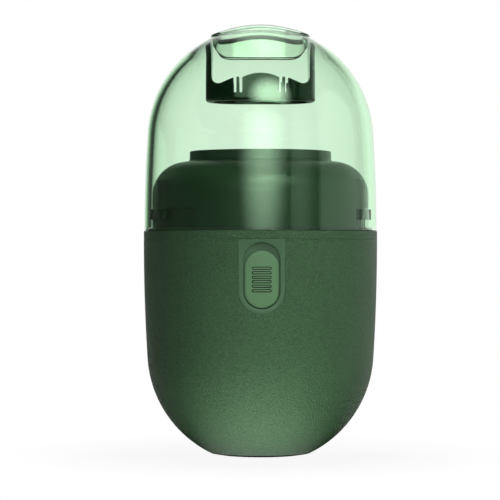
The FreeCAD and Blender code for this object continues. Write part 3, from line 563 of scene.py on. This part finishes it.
def dome_outside():
    """Outer skin of the dome, from its bottom edge up to the inlet rim."""
    joint_rise, circle = 1.9776, 20.0
    foot = DOME["foot"]
    edge = [level_ring(foot - 0.17, DOME_BOTTOM), level_ring(foot - 0.05, DOME_BOTTOM + 0.03)]
    side = dome_side(0.0, [59.4, 59.46, 60.5, 62.5] + spread(65.0, 83.0, 7))
    return (edge + side + dome_cap(CROWN, joint_rise, circle)
            + dome_shoulder(CROWN, circle, RIM_HALF + 0.2))


def inlet_rim():
    """Raised rim round the inlet and the collar that hangs under it, with a round lip."""
    section = ((RIM_HALF + 0.1, 0.01), (RIM_HALF + 0.03, 0.06), (RIM_HALF, 0.15),
               (RIM_HALF, RIM_RISE - RIM_EASE), (RIM_HALF - RIM_EASE, RIM_RISE), (6.3, RIM_RISE),
               (MOUTH_HALF + RIM_EASE, RIM_RISE), (MOUTH_HALF, RIM_RISE - RIM_EASE))
    rim = [lifted(oblong_ring(width), CROWN + rise) for width, rise in section]
    widening = COLLAR_HALF - MOUTH_HALF
    bore = [collar_level(COLLAR_HALF - widening * share, LIP_RADIUS, share)
            for share in (0.75, 0.5, 0.25, 0.04)]
    lip = [collar_level(COLLAR_HALF + LIP_RADIUS - LIP_RADIUS * math.cos(turn),
                        LIP_RADIUS - LIP_RADIUS * math.sin(turn))
           for turn in spread(0.0, math.pi, 9)]
    collar_outer = COLLAR_HALF + 2 * LIP_RADIUS
    fillet = ((0.0, 0.22), (0.03, 0.12), (0.09, 0.05), (0.2, 0.0))
    foot = [lifted(oblong_ring(collar_outer + out), DOME_INSIDE + THINNING, drop)
            for out, drop in fillet]
    return rim + bore + lip + foot


def dome_inside():
    """Inner skin of the dome, from the collar down to the rebate that holds the seal."""
    joint_rise, circle, half_width = 1.86, 18.8, 7.2
    crown = (dome_cap(DOME_INSIDE, joint_rise, circle)
             + dome_shoulder(DOME_INSIDE, circle, half_width, THINNING))
    rebate_radius, rebate_top = 29.95, 60.1
    side = dome_side(DOME_WALL, spread(83.0, 68.0, 6) + [66.0, 64.0, 62.0, 60.3, rebate_top])
    rebate = [level_ring(rebate_radius, rebate_top), level_ring(rebate_radius, DOME_BOTTOM + 0.06),
              level_ring(rebate_radius + 0.06, DOME_BOTTOM)]
    return crown[::-1] + side + rebate


def dust_cup():
    """Clear dome with its inlet rim and the collar under it."""
    return smooth_piece("clear_dome",
                        lofted((dome_outside() + inlet_rim() + dome_inside(), True)))


LUG_BEARINGS = [side * 65.0 + half for half in (0, 180) for side in (-1, 1)]
LUG_HALF_ARC = 7.0


def cup_lugs():
    """Four bayonet lugs on the cup's inner wall, with eased ends."""
    inner, outer, bottom, top, fillet = 27.9, 29.18, 62.1, 64.8, 0.15
    section = rounded([(inner, bottom, fillet), (outer, bottom), (outer, top), (inner, top, fillet)])
    middle = Vector(((inner + outer) / 2, (bottom + top) / 2))
    end = [(LUG_HALF_ARC, 1.0), (LUG_HALF_ARC, 0.072), (LUG_HALF_ARC - 0.25, 0.0)]
    stations = [(-turn, pinch) for turn, pinch in end] + end[::-1]
    shells = []
    for lug in LUG_BEARINGS:
        rings = []
        for turn, pinch in stations:
            angle = bearing_angle(lug + turn)
            pinched = [Vector(point).lerp(middle, pinch) for point in section]
            rings.append([around(radius, angle, height) for radius, height in pinched])
        shells.append((rings, False))
    return smooth_piece("bayonet_lugs", lofted(*shells))


# Inlet sleeve

def sleeve_window():
    """Front view of the sleeve's window, with its snap fingers and the arch between them."""
    half, top, sill_end, sill = 12.9, 112.0, 10.6, 98.0
    slot_out, finger_out, finger_in, slot_in = 7.08, 6.36, 5.57, 4.84
    slot_foot, slot_fillet, finger_top, finger_fillet = 95.5, 0.3, 99.6, 0.39
    arch_foot, arch_radius = 99.4, 10.4
    left = rounded([(-half, top), (-half, sill, 1.9), (-sill_end, sill, 1.0),
                    (-slot_out, arch_foot, 0.2), (-slot_out, slot_foot, slot_fillet),
                    (-finger_out, slot_foot, slot_fillet), (-finger_out, finger_top, finger_fillet),
                    (-finger_in, finger_top, finger_fillet), (-finger_in, slot_foot, slot_fillet),
                    (-slot_in, slot_foot, slot_fillet), (-slot_in, arch_foot)], closed=False)
    middle = arch_foot - math.sqrt(arch_radius ** 2 - slot_in ** 2)
    swing = math.asin(slot_in / arch_radius)
    arch = [(arch_radius * math.sin(angle), middle + arch_radius * math.cos(angle))
            for angle in spread(-swing, swing, 13)]
    right = [(-x, z) for x, z in reversed(left)]
    return left + arch[1:-1] + right


def inlet_sleeve():
    """Dark sleeve round the inlet collar, with its window cut through front and back."""
    spots = oblong_spots(round_about(128), straight=5.8)
    inner, outer, bottom, above = 7.0, 8.8, 93.5, 110.0
    top_radius = DOME_INSIDE - 0.15
    ease, ease_drop = 0.08, 0.2
    window_depth = 12.0
    wall = rounded([(inner, above), (inner, bottom, 0.2), (outer, bottom, 0.8), (outer, above)],
                   6, closed=False)[1:-1]
    rings = [[(x, y, height) for x, y in oblong_ring(width, spots)] for width, height in wall]
    rings += [lifted(oblong_ring(width, spots), top_radius, drop)
              for width, drop in ((outer, ease_drop), (outer - ease, 0.0),
                                  (inner + ease, 0.0), (inner, ease_drop))]
    sleeve = cut_out("inlet_sleeve_skin", lofted((rings, True)),
                     prism(sleeve_window(), -window_depth, window_depth))
    soft_edges = sleeve.modifiers.new("soft_edges", "BEVEL")
    soft_edges.width = 0.1 * MM
    soft_edges.segments = 2
    soft_edges.limit_method = "ANGLE"
    soft_edges.angle_limit = math.radians(50)
    return sleeve


def lip_shade_ring():
    """Dark ring under the inlet collar's lip: painted shade for the dark line that refraction draws
    along the clear lip.
    """
    inner, outer = COLLAR_HALF - 0.07, COLLAR_HALF + 2 * LIP_RADIUS + 0.03
    depth, fillet = 0.3, 0.1
    section = rounded([(inner, 0.0, fillet), (outer, 0.0, fillet), (outer, depth, fillet),
                       (inner, depth, fillet)], 3)
    rings = [[(x, y, collar_bottom(x, y) + rise) for x, y in oblong_ring(width)]
             for width, rise in section]
    return smooth_piece("lip_shade_ring", lofted((rings, True)))


# Filter hood

HOOD_BOTTOM = 58.0
HOOD_WALL = 2.0
SHOULDER_RADIUS = 9.0
SHOULDER_CENTRE = (19.7, 68.5)
HOOD = SHOULDER_CENTRE[0] + SHOULDER_RADIUS


def hood_neck():
    """Section of the neck, from the shoulder over the top and down inside to under it."""
    outer, bore, bottom, top = 18.8, 17.3, 64.0, 80.3
    ledge_bore, ledge_bottom, ledge_top = 15.0, 67.5, 69.0
    across, shoulder_top = SHOULDER_CENTRE[0], SHOULDER_CENTRE[1] + SHOULDER_RADIUS
    under = shoulder_top - HOOD_WALL
    return rounded([(20.6, shoulder_top), (outer, shoulder_top, 0.9), (outer, top, 0.3),
                    (bore, top, 0.15), (bore, ledge_top), (ledge_bore, ledge_top, 0.15),
                    (ledge_bore, ledge_bottom, 0.15), (bore, ledge_bottom), (bore, bottom, 0.15),
                    (outer, bottom, 0.15), (outer, under, 0.4), (across, under)],
                   6, closed=False)[1:]


def shoulder_arc(radius, turns):
    """Points of the hood's shoulder at some turns from its side."""
    across, height = SHOULDER_CENTRE
    return [(across + radius * math.cos(math.radians(turn)),
             height + radius * math.sin(math.radians(turn))) for turn in turns]


def shoulder_width(height):
    """Radius of the hood's shoulder at a height."""
    across, centre = SHOULDER_CENTRE
    return across + math.sqrt(SHOULDER_RADIUS ** 2 - (height - centre) ** 2)


def filter_hood():
    """Hood with a neck on its shoulder and a bent bayonet track for each lug."""
    track_starts = [lug - 8.5 for lug in LUG_BEARINGS]
    leg_arc, track_arc, track_floor = 17.0, 38.0, 27.6
    track_bottom, track_top, leg_top = 59.2, 65.1, 72.5
    step_arc, step_height, clear_of_step = 0.06, 0.04, 0.1
    ends = [start + arc for start in track_starts for arc in (0.0, leg_arc, track_arc)]
    angles = round_about(240, [bearing_angle(end + side * step_arc)
                               for end in ends for side in (-1, 1)])

    def ring(radius, height, cut_arc=0.0):
        """Ring that drops to the floor of each track for an arc from its start."""
        points = []
        for angle in angles:
            bearing = math.degrees(angle) + 90
            cut = any((bearing - start) % 360 < cut_arc for start in track_starts)
            reach = min(radius, track_floor) if cut else radius
            points.append(around(reach, angle, height))
        return points

    ease = 0.15
    shoulder = shoulder_arc(SHOULDER_RADIUS, spread(0, 90, 31))
    rings = [ring(HOOD - ease, HOOD_BOTTOM), ring(HOOD, HOOD_BOTTOM + ease),
             ring(HOOD, track_bottom - step_height)]
    rings += [ring(HOOD, height, track_arc)
              for height in (track_bottom + step_height, 62.0, track_top - step_height)]
    rings.append(ring(HOOD, track_top + step_height, leg_arc))
    rings += [ring(radius, height, leg_arc) for radius, height in shoulder
              if height < leg_top - clear_of_step]
    rings += [ring(shoulder_width(height), height, arc) for height, arc in (
        (leg_top - step_height, leg_arc), (leg_top + step_height, 0.0))]
    rings += [ring(radius, height) for radius, height in shoulder
              if height > leg_top + clear_of_step]
    under = shoulder_arc(SHOULDER_RADIUS - HOOD_WALL, spread(87, 0, 16))
    rings += [ring(radius, height) for radius, height in hood_neck() + under]
    rings += [ring(HOOD - HOOD_WALL, 63.0), ring(HOOD - HOOD_WALL, HOOD_BOTTOM + ease),
              ring(HOOD - HOOD_WALL + ease, HOOD_BOTTOM)]
    return smooth_piece("hood_skin", lofted((rings, True)))


# Outer shell

SHELL_WALL = 2.0
BEYOND_SKIN = 33.0

PANEL = (6.0, 37.95, SEAM)


def half_capsule(sink, floor, steps):
    """Section of the lower half's skin, some way under it, from a floor up to the seam."""
    joint_rise, barrel_bottom, barrel_top = 1.885, 28.0, SEAM - 0.8
    radius = CROWN - sink
    low = math.asin((BODY["centre"] - floor) / radius)
    joint = math.asin(joint_rise / CROWN)
    crown = [(radius * math.cos(tilt), BODY["centre"] - radius * math.sin(tilt))
             for tilt in spread(low, joint, steps)]
    return crown + [(skin_radius(height, BODY, sink), height)
                    for height in spread(barrel_bottom, barrel_top, 11)]


def shell_section():
    """Section of the shell, up the outside and down the inside to its boss and pad recess."""
    foot = 0.3
    outside = half_capsule(0.0, foot + 0.06, 36)
    outside[0] = (outside[0][0] - 0.03, outside[0][1])    # eased in to the foot ring
    radius, inside_radius = BODY["foot"], BODY["foot"] - SHELL_WALL
    seam_edge = [(radius - 0.001, SEAM - 0.14), (radius - 0.02, SEAM - 0.07),
                 (radius - 0.06, SEAM - 0.02), (radius - 0.12, SEAM),
                 (inside_radius + 0.1, SEAM), (inside_radius, SEAM - 0.1)]
    floor, boss, boss_top, bore = 3.0, 5.0, 5.5, 1.3
    screw_head, screw_seat, pad_seat, pad_recess = 2.6, 2.9, 1.5, 11.6
    base = rounded([(8.0, floor), (boss, floor, 0.4), (boss, boss_top, 0.3), (bore, boss_top, 0.1),
                    (bore, screw_seat), (screw_head, screw_seat), (screw_head, pad_seat, 0.1),
                    (pad_recess, pad_seat), (pad_recess, foot + 0.08)], closed=False)
    inside = half_capsule(SHELL_WALL, floor, 24)
    foot_ring = [(pad_recess + 0.08, foot), (12.9, foot)]
    return foot_ring + outside + seam_edge + inside[::-1] + base


def opening(shape_grown, middle, side, angles, floor):
    """Cutter for an opening whose shape depends on how far it is grown, flared at the skin."""
    flare = ((0.3, 0.0), (0.05, 0.0), (0.0, 0.05), (-0.6, 0.65))
    plain = outline(shape_grown(0.0), middle, angles)
    widest = outline(shape_grown(flare[-1][1]), middle, angles)
    rings = [flat_ring(toward(plain, middle, 0.0), side * floor), flat_ring(plain, side * floor)]
    rings += [on_skin(outline(shape_grown(extra), middle, angles), sink, side)
              for sink, extra in flare]
    rings += [flat_ring(widest, side * BEYOND_SKIN),
              flat_ring(toward(widest, middle, 0.0), side * BEYOND_SKIN)]
    return rings, False


def panel_opening():
    """Cutter for the switch panel, open through the seam."""
    middle, top, floor, gap = 48.0, 59.0, 26.0, 0.03
    size = (PANEL[0] + gap, PANEL[1] - gap, top)
    corner = math.atan2(top - middle, size[0])
    return opening(lambda extra: grown(shield_shape, size, extra), middle, -1,
                   round_about(96, [corner, math.pi - corner]), floor)


def socket_opening():
    """Cutter for the charging socket."""
    half_length, half_width, height, floor = 4.72, 1.88, 20.5, 24.0
    return opening(lambda extra: flat_oblong_shape(half_length + extra, half_width + extra, height),
                   height, 1, round_about(72), floor)


def vent_holes():
    """Cutters for the rows of exhaust holes in the back, each eased where it meets the skin."""
    rows, columns, bottom, rise, turn, radius = 4, 7, 40.0, 3.6, 8, 0.8
    cutters = []
    for row in range(rows):
        height = bottom + rise * row
        skin = skin_radius(height, BODY)
        for column in range(columns):
            bearing = 180 + turn * (column - columns // 2)
            cutters.append(drill(bearing, height, (
                (26.0, radius), (skin - 0.16, radius), (skin - 0.05, radius + 0.03),
                (skin, radius + 0.13), (skin + 0.5, 2 * radius))))
    return cutters


def outer_shell():
    """Grained cup with openings for the switch panel, the exhaust, the charge light and socket."""
    light, light_height = 1.05, 30.0
    light_hole = drill(180, light_height, ((25.0, light), (29.9, light), (30.08, light + 0.1),
                                           (31.0, light + 0.75)))
    return cut_out("shell_skin", lofted(lathe(shell_section())),
                   lofted(panel_opening(), *vent_holes(), light_hole, socket_opening()))


# Collar band

DECK_TABS = (0, 90, 180, 270)
SKIRT_BOTTOM = 52.4


def deck_tab(bearing):
    """Shell of one tab that carries the deck, with the hole for its screw."""
    inward, outward, half_width = 2.2, 2.65, 3.0
    middle, top, hole, ease = 25.0, 54.0, 1.0, 0.1
    turn = math.radians(bearing)
    corners = [math.atan2(y, x) for x in (-inward, outward) for y in (-half_width, half_width)]
    angles = round_about(48, corners)

    def ring(height, inset=0.0, hole_radius=None):
        points = []
        for angle in angles:
            across, along = math.cos(angle), math.sin(angle)
            to_end = ((outward if across > 0 else inward) - inset) / max(abs(across), 1e-9)
            to_side = (half_width - inset) / max(abs(along), 1e-9)
            reach = hole_radius or min(to_end, to_side)
            x, y = middle + reach * across, reach * along
            points.append((x * math.cos(turn) - y * math.sin(turn),
                           x * math.sin(turn) + y * math.cos(turn), height))
        return points

    low, high = SKIRT_BOTTOM + ease, top - ease
    outside = [ring(SKIRT_BOTTOM, ease), ring(low), ring(high), ring(top, ease)]
    bore = [ring(height, hole_radius=radius) for height, radius in (
        (top, hole + ease), (high, hole), (low, hole), (SKIRT_BOTTOM, hole + ease))]
    return outside + bore, True


def collar_ring():
    """Grained band with its skirt and the four tabs that carry the deck."""
    skirt_inner, skirt_outer, hood_seat = 27.35, 28.85, 28.9
    radius, chamfer = BODY["foot"], 0.12
    section = rounded([(skirt_inner, SKIRT_BOTTOM, 0.2), (skirt_outer, SKIRT_BOTTOM, 0.2),
                       (skirt_outer, SEAM), (radius - chamfer, SEAM, 0.02),
                       (radius, SEAM + chamfer, 0.05), (radius, BAND_TOP, 0.15),
                       (hood_seat, BAND_TOP, 0.15), (hood_seat, HOOD_BOTTOM),
                       (skirt_inner, HOOD_BOTTOM, 0.1)])
    return smooth_piece("collar_band", lofted(lathe(section), *map(deck_tab, DECK_TABS)))


# Switch panel

def switch_panel():
    """Smooth shield with the slider's slot, and the stem's slot in its floor."""
    middle, slot_floor, fillet, chamfer = 48.1, -29.55, 0.1, 0.08
    slot_size, stem_size = (4.7, 39.15, 56.2), (1.8, 45.2, 51.0)
    corners = [math.atan2(PANEL[2] - middle, PANEL[0]), math.atan2(stem_size[2] - middle, stem_size[0]),
               math.atan2(stem_size[1] - middle, stem_size[0])]
    angles = round_about(120, corners + [math.pi - corner for corner in corners])

    def edge(shape, size, extra=0.0):
        return outline(grown(shape, size, extra), middle, angles)

    shield, stem = edge(shield_shape, PANEL), edge(box_shape, stem_size)
    rings = [on_skin(shield, SHELL_WALL), on_skin(shield, 0.06),
             on_skin(edge(shield_shape, PANEL, -0.04), 0.0)]
    rings += [on_skin(edge(oblong_shape, slot_size, extra), sink)
              for extra, sink in ((0.06, 0.0), (0.02, 0.02), (0.0, 0.06))]
    rings += [flat_ring(edge(oblong_shape, slot_size), slot_floor - fillet),
              flat_ring(edge(oblong_shape, slot_size, -fillet), slot_floor),
              flat_ring(edge(box_shape, stem_size, chamfer), slot_floor),
              flat_ring(stem, slot_floor + chamfer), on_skin(stem, SHELL_WALL)]
    return smooth_piece("switch_shield", lofted((rings, True)))


# Power slider. A grip size is (half length, half height).

SLIDER_FACE = 0.35
GRIP_HEIGHTS = [43.87 + 1.14 * index for index in range(6)]
GROOVE = (2.52, 0.41)
GROOVE_DEPTH = 0.85
RIB = (2.27, 0.16)


def grip_outline(height, size, inset=0.0):
    """Outline of a level oblong with round ends, drawn in by an inset."""
    half_length, half_height = size[0] - inset, size[1] - inset
    straight = half_length - half_height
    return [(math.copysign(straight, math.cos(angle)) + half_height * math.cos(angle),
             height + half_height * math.sin(angle))
            for angle in [math.pi / 24 + step * math.pi / 12 for step in range(24)]]


def groove_shells(overlap, bottom, top):
    """Shells that fill the grooves between two depths, a little wider or not."""
    shells = []
    for height in GRIP_HEIGHTS:
        spine, edge = (grip_outline(height, GROOVE, inset) for inset in (GROOVE[1], -overlap))
        shells.append(([on_skin(spine, bottom), on_skin(edge, bottom), on_skin(edge, top),
                        on_skin(spine, top)], False))
    return shells


def slider_stem():
    """Shell of the stem that reaches in through the panel."""
    size, ease = (1.5, 45.5, 48.5), 0.1
    middle, root, tip = 47.0, -29.8, -25.5
    angles = round_about(16, [math.pi / 4 + math.pi / 2 * step for step in range(4)])
    plain, eased = (outline(grown(box_shape, size, extra), middle, angles)
                    for extra in (0.0, -ease))
    return [flat_ring(plain, root), flat_ring(plain, tip - ease), flat_ring(eased, tip),
            flat_ring(toward(eased, middle, 0.0), tip)], False


def slider_button():
    """Oblong slider with a groove round each grip rib, and the stem that reaches in."""
    size, middle = (4.36, 39.46, 54.0), 46.75
    back, chamfer = -29.75, 0.08
    angles = round_about(96)

    def oblong(inset):
        return outline(grown(oblong_shape, size, -inset), middle, angles)

    edge = ((0.0, 0.49), (0.02, 0.41), (0.07, 0.365), (0.14, SLIDER_FACE))
    face = oblong(edge[-1][0])
    rings = [flat_ring(toward(face, middle, 0.0), back), flat_ring(oblong(chamfer), back),
             flat_ring(oblong(0.0), back - chamfer)]
    rings += [on_skin(oblong(inset), sink) for inset, sink in edge]
    rings += [on_skin(toward(face, middle, share), SLIDER_FACE)
              for share in (0.9, 0.75, 0.5, 0.25, 0.0)]
    body = cut_out("slider_face", lofted((rings, False)),
                   lofted(*groove_shells(0.0, GROOVE_DEPTH, 0.1)))
    work = bmesh.new()
    work.from_mesh(body.data)
    work.from_mesh(lofted(slider_stem()))
    work.to_mesh(body.data)
    work.free()
    return body


def grip_ribs():
    """Six rounded ribs that stand in the slider's grooves."""
    edge = ((0.0, GROOVE_DEPTH + 0.01), (0.0, 0.36), (0.02, 0.32), (0.06, 0.3))
    crest_sink = 0.29
    shells = []
    for height in GRIP_HEIGHTS:
        rings = [on_skin(grip_outline(height, RIB, inset), sink) for inset, sink in edge]
        crest = [(x, height) for x, _ in grip_outline(height, RIB, edge[-1][0])]
        rings.append(on_skin(crest, crest_sink))
        shells.append((rings, False))
    return smooth_piece("grip_ribs", lofted(*shells))


def groove_shade_floors():
    """Dark sheets deep in the grooves round the grip ribs: painted shade in the grooves."""
    shells = groove_shells(0.01, GROOVE_DEPTH + 0.02, 0.55)
    return smooth_piece("groove_shade_floors", lofted(*shells))


# Foot pad and cup seal

def foot_pad():
    """Round pad under the base."""
    radius, height = 11.4, 1.4
    section = rounded([(0.0, 0.0), (radius, 0.0, 0.3), (radius, height, 0.15), (0.0, height)],
                      closed=False)
    return smooth_piece("foot_pad", lofted(lathe(section, closed=False)))


def cup_seal():
    """Soft ring in the dome's rebate."""
    inner, outer, top, low_fillet, high_fillet = 29.2, 29.75, 59.9, 0.15, 0.2
    section = rounded([(inner, DOME_BOTTOM, low_fillet), (outer, DOME_BOTTOM, low_fillet),
                       (outer, top, high_fillet), (inner, top, high_fillet)], 5)
    return smooth_piece("seal_skin", lofted(lathe(section)))


# Every piece in its place

place(dust_cup(), "cup", "clear_green", "dust_cup")
# The lugs are dressed opaque dark rather than clear: painted shade for the dark look that refraction
# gives clear lugs.
place(cup_lugs(), "cup", "satin_green", "dust_cup")
place(inlet_sleeve(), "cup", "gloss_green", "inlet_sleeve")
# Dark ring under the collar's lip, in the sleeve's gloss: painted shade of the lip's refraction.
place(lip_shade_ring(), "cup", "gloss_green", "inlet_sleeve")
place(filter_hood(), "housing", "satin_green", "filter_hood")
place(outer_shell(), "housing", "grained_green", "outer_shell")
place(collar_ring(), "housing", "grained_green", "collar_ring")
place(switch_panel(), "housing", "smooth_green", "switch_panel", finish="panel_green")
place(slider_button(), "power_slider", "smooth_green", "slider_button")
place(grip_ribs(), "power_slider", "smooth_green", "slider_button")
# Dark sheets in the slider's grooves: painted shade.
place(groove_shade_floors(), "power_slider", "gloss_green", "slider_button")
place(foot_pad(), "housing", "pad_rubber", "base_pad")
place(cup_seal(), "seal_ring", "silicone", "cup_seal")

record_slots = {part["node"]: part["material_slot"] for part in frame["record"]["subparts"]}
for node_name, node in frame["nodes"].items():
    dress(node, record_slots[node_name])


# Lamps

def flat_card(name, half_width, half_height):
    """Level rectangle round its own middle."""
    mesh = bpy.data.meshes.new(name)
    corners = [Vector((x * half_width, y * half_height, 0)) * MM
               for x, y in ((-1, -1), (1, -1), (1, 1), (-1, 1))]
    mesh.from_pydata(corners, [], [(0, 1, 2, 3)])
    return linked(name, mesh)


def lamp_spot(bearing, elevation, distance=600, height=60.0):
    """Place of a lamp at a bearing and an elevation."""
    flat = distance * math.cos(math.radians(elevation))
    return (flat * math.sin(math.radians(bearing)), -flat * math.cos(math.radians(bearing)),
            height + distance * math.sin(math.radians(elevation)))


def emitter(name, centre, aim, half_size, strength, softness=0.6, hidden_from=()):
    """Soft box: a card lit on one side, brightest in the middle, unseen by the camera."""
    half_width, half_height = half_size
    card = flat_card(name, half_width, half_height)
    card.location = Vector(centre) * MM
    card.rotation_mode = "QUATERNION"
    card.rotation_quaternion = (Vector(aim) - Vector(centre)).to_track_quat("Z", "Y")
    nodes = new_material(name)
    share = (1 / (half_width * MM), 1 / (half_height * MM), 0)
    scaled = nodes.add("VectorMath", {0: nodes.local(), 1: share}, operation="MULTIPLY")
    outward = nodes.length(scaled.outputs["Vector"])
    glow = nodes.between(outward, strength, 0.0, 1.0 - softness, 1.0,
                         interpolation_type="SMOOTHSTEP")
    light = nodes.shader("Emission", Strength=glow)
    dark = nodes.shader("Emission", Strength=0.0)
    lit = nodes.mix_shaders(nodes.add("NewGeometry").outputs["Backfacing"], light, dark)
    path = nodes.add("LightPath").outputs
    bounces = nodes.math("MAXIMUM", path["Glossy Depth"], path["Diffuse Depth"])
    passing = nodes.seen_through(path, bounces)
    nodes.output(nodes.mix_shaders(passing, lit, nodes.shader("BsdfTransparent")))
    dress(card, name)
    card.visible_camera = False
    card.visible_shadow = False
    for kind in hidden_from:
        setattr(card, "visible_" + kind, False)


# Each lamp: where it stands, what it aims at, its half size and its strength.
emitter("key_light", lamp_spot(11, 45), (0, 0, 70), (240, 240), 10.0, softness=0.8,
        hidden_from=("diffuse",))
emitter("front_light", lamp_spot(2, 15, 300), (0, 0, 70), (150, 135), 4.2, softness=1.0)
emitter("right_edge", lamp_spot(84, 6), (0, 0, 60), (350, 420), 0.65, softness=0.15,
        hidden_from=("diffuse",))
emitter("right_fill", lamp_spot(52, 30), (0, 0, 60), (260, 260), 4.9,
        hidden_from=("glossy", "transmission"))
emitter("right_sheen", lamp_spot(38, 12), (0, 0, 60), (240, 300), 0.7, softness=1.0,
        hidden_from=("diffuse",))
emitter("back_fill", lamp_spot(185, 25), (0, 0, 50), (300, 260), 3.5,
        hidden_from=("glossy", "transmission"))
emitter("table_light", (-1, -44, 0.6), (-1, -44, 60), (50, 50), 2.9, softness=1.0)


# World, floor and camera

def studio_world():
    """White seen direct or through the object, dark flags in reflections and a dim diffuse fill."""
    # Where the flags end, in radians from the back (+Y) towards +X.
    far_edge, near_edge, right_edge = (-1.0, -0.75), (-0.44, -0.24), (0.7, 1.3)
    flag_level, right_level, top_level, fill_level = 0.05, 0.1, 0.2, 0.1
    # Where the dark top starts, and the bright gap in it, as parts of a ray's length.
    top_edge, mirrored_gap, seen_gap = (0.26, 0.5), (0.1, 0.35), (0.3, 0.6)
    world = bpy.data.worlds.new("studio")
    nodes = Nodes(world)
    path = nodes.add("LightPath").outputs
    x, y, z = nodes.add("SeparateXYZ", {0: nodes.add("TexCoord").outputs["Generated"]}).outputs
    bearing = nodes.math("ARCTAN2", x, y)
    sideways = nodes.math("ABSOLUTE", x)

    def below_top(gap):
        return nodes.between(z, 1.0, nodes.between(sideways, 1.0, top_level, *gap), *top_edge)

    from_left = nodes.between(bearing, flag_level, 1.0, *near_edge)
    beyond_flag = nodes.between(bearing, 1.0, flag_level, *far_edge)
    from_right = nodes.between(bearing, 1.0, right_level, *right_edge)
    reflected = nodes.math("MULTIPLY", nodes.math("MULTIPLY", from_left, from_right),
                           below_top(mirrored_gap))
    through = nodes.math("MULTIPLY", below_top(seen_gap),
                         nodes.math("MAXIMUM", from_left, beyond_flag))
    backdrop = nodes.blend(nodes.seen_through(path, path["Glossy Depth"]), reflected, through)
    unseen = nodes.blend(nodes.math("MINIMUM", path["Diffuse Depth"], 1.0), backdrop,
                         (fill_level, fill_level, fill_level, 1.0))
    colour = nodes.blend(path["Is Camera Ray"], unseen, WHITE)
    nodes.output(nodes.shader("Background", Color=colour), kind="OutputWorld")
    world.cycles.sampling_method = "NONE"
    bpy.context.scene.world = world


def studio_floor():
    """White floor that keeps a faint shadow near the object."""
    half_size, drop, fade_start, fade_end, near_glow = 9000, 0.02, 30, 70, 0.92
    item = flat_card("floor", half_size, half_size)
    item.location.z = -drop * MM
    nodes = new_material("floor")
    path = nodes.add("LightPath").outputs
    seen = nodes.math("MAXIMUM", path["Is Camera Ray"],
                      nodes.seen_through(path, path["Glossy Depth"]))
    away = nodes.length(nodes.local())
    glow = nodes.between(away, near_glow, 1.0, fade_start * MM, fade_end * MM)
    paint = nodes.shader("BsdfDiffuse", Color=(0.85, 0.85, 0.85, 1.0))
    white = nodes.shader("Emission", Strength=1.0)
    nodes.output(nodes.mix_shaders(nodes.math("MULTIPLY", seen, glow), paint, white))
    dress(item, "floor")


def camera():
    """Camera level with the middle of the object."""
    spot, look = (-7.15, -630.0, 54.2), (4.38, 630.0, 0.0)
    data = bpy.data.cameras.new("camera")
    data.lens = 170.5
    data.sensor_width = 36.0
    data.clip_start = 10 * MM
    item = linked("camera", data)
    item.location = Vector(spot) * MM
    item.rotation_mode = "QUATERNION"
    item.rotation_quaternion = Vector(look).to_track_quat("-Z", "Y")
    bpy.context.scene.camera = item


studio_world()
studio_floor()
camera()
bpy.context.scene.view_settings.view_transform = "Standard"
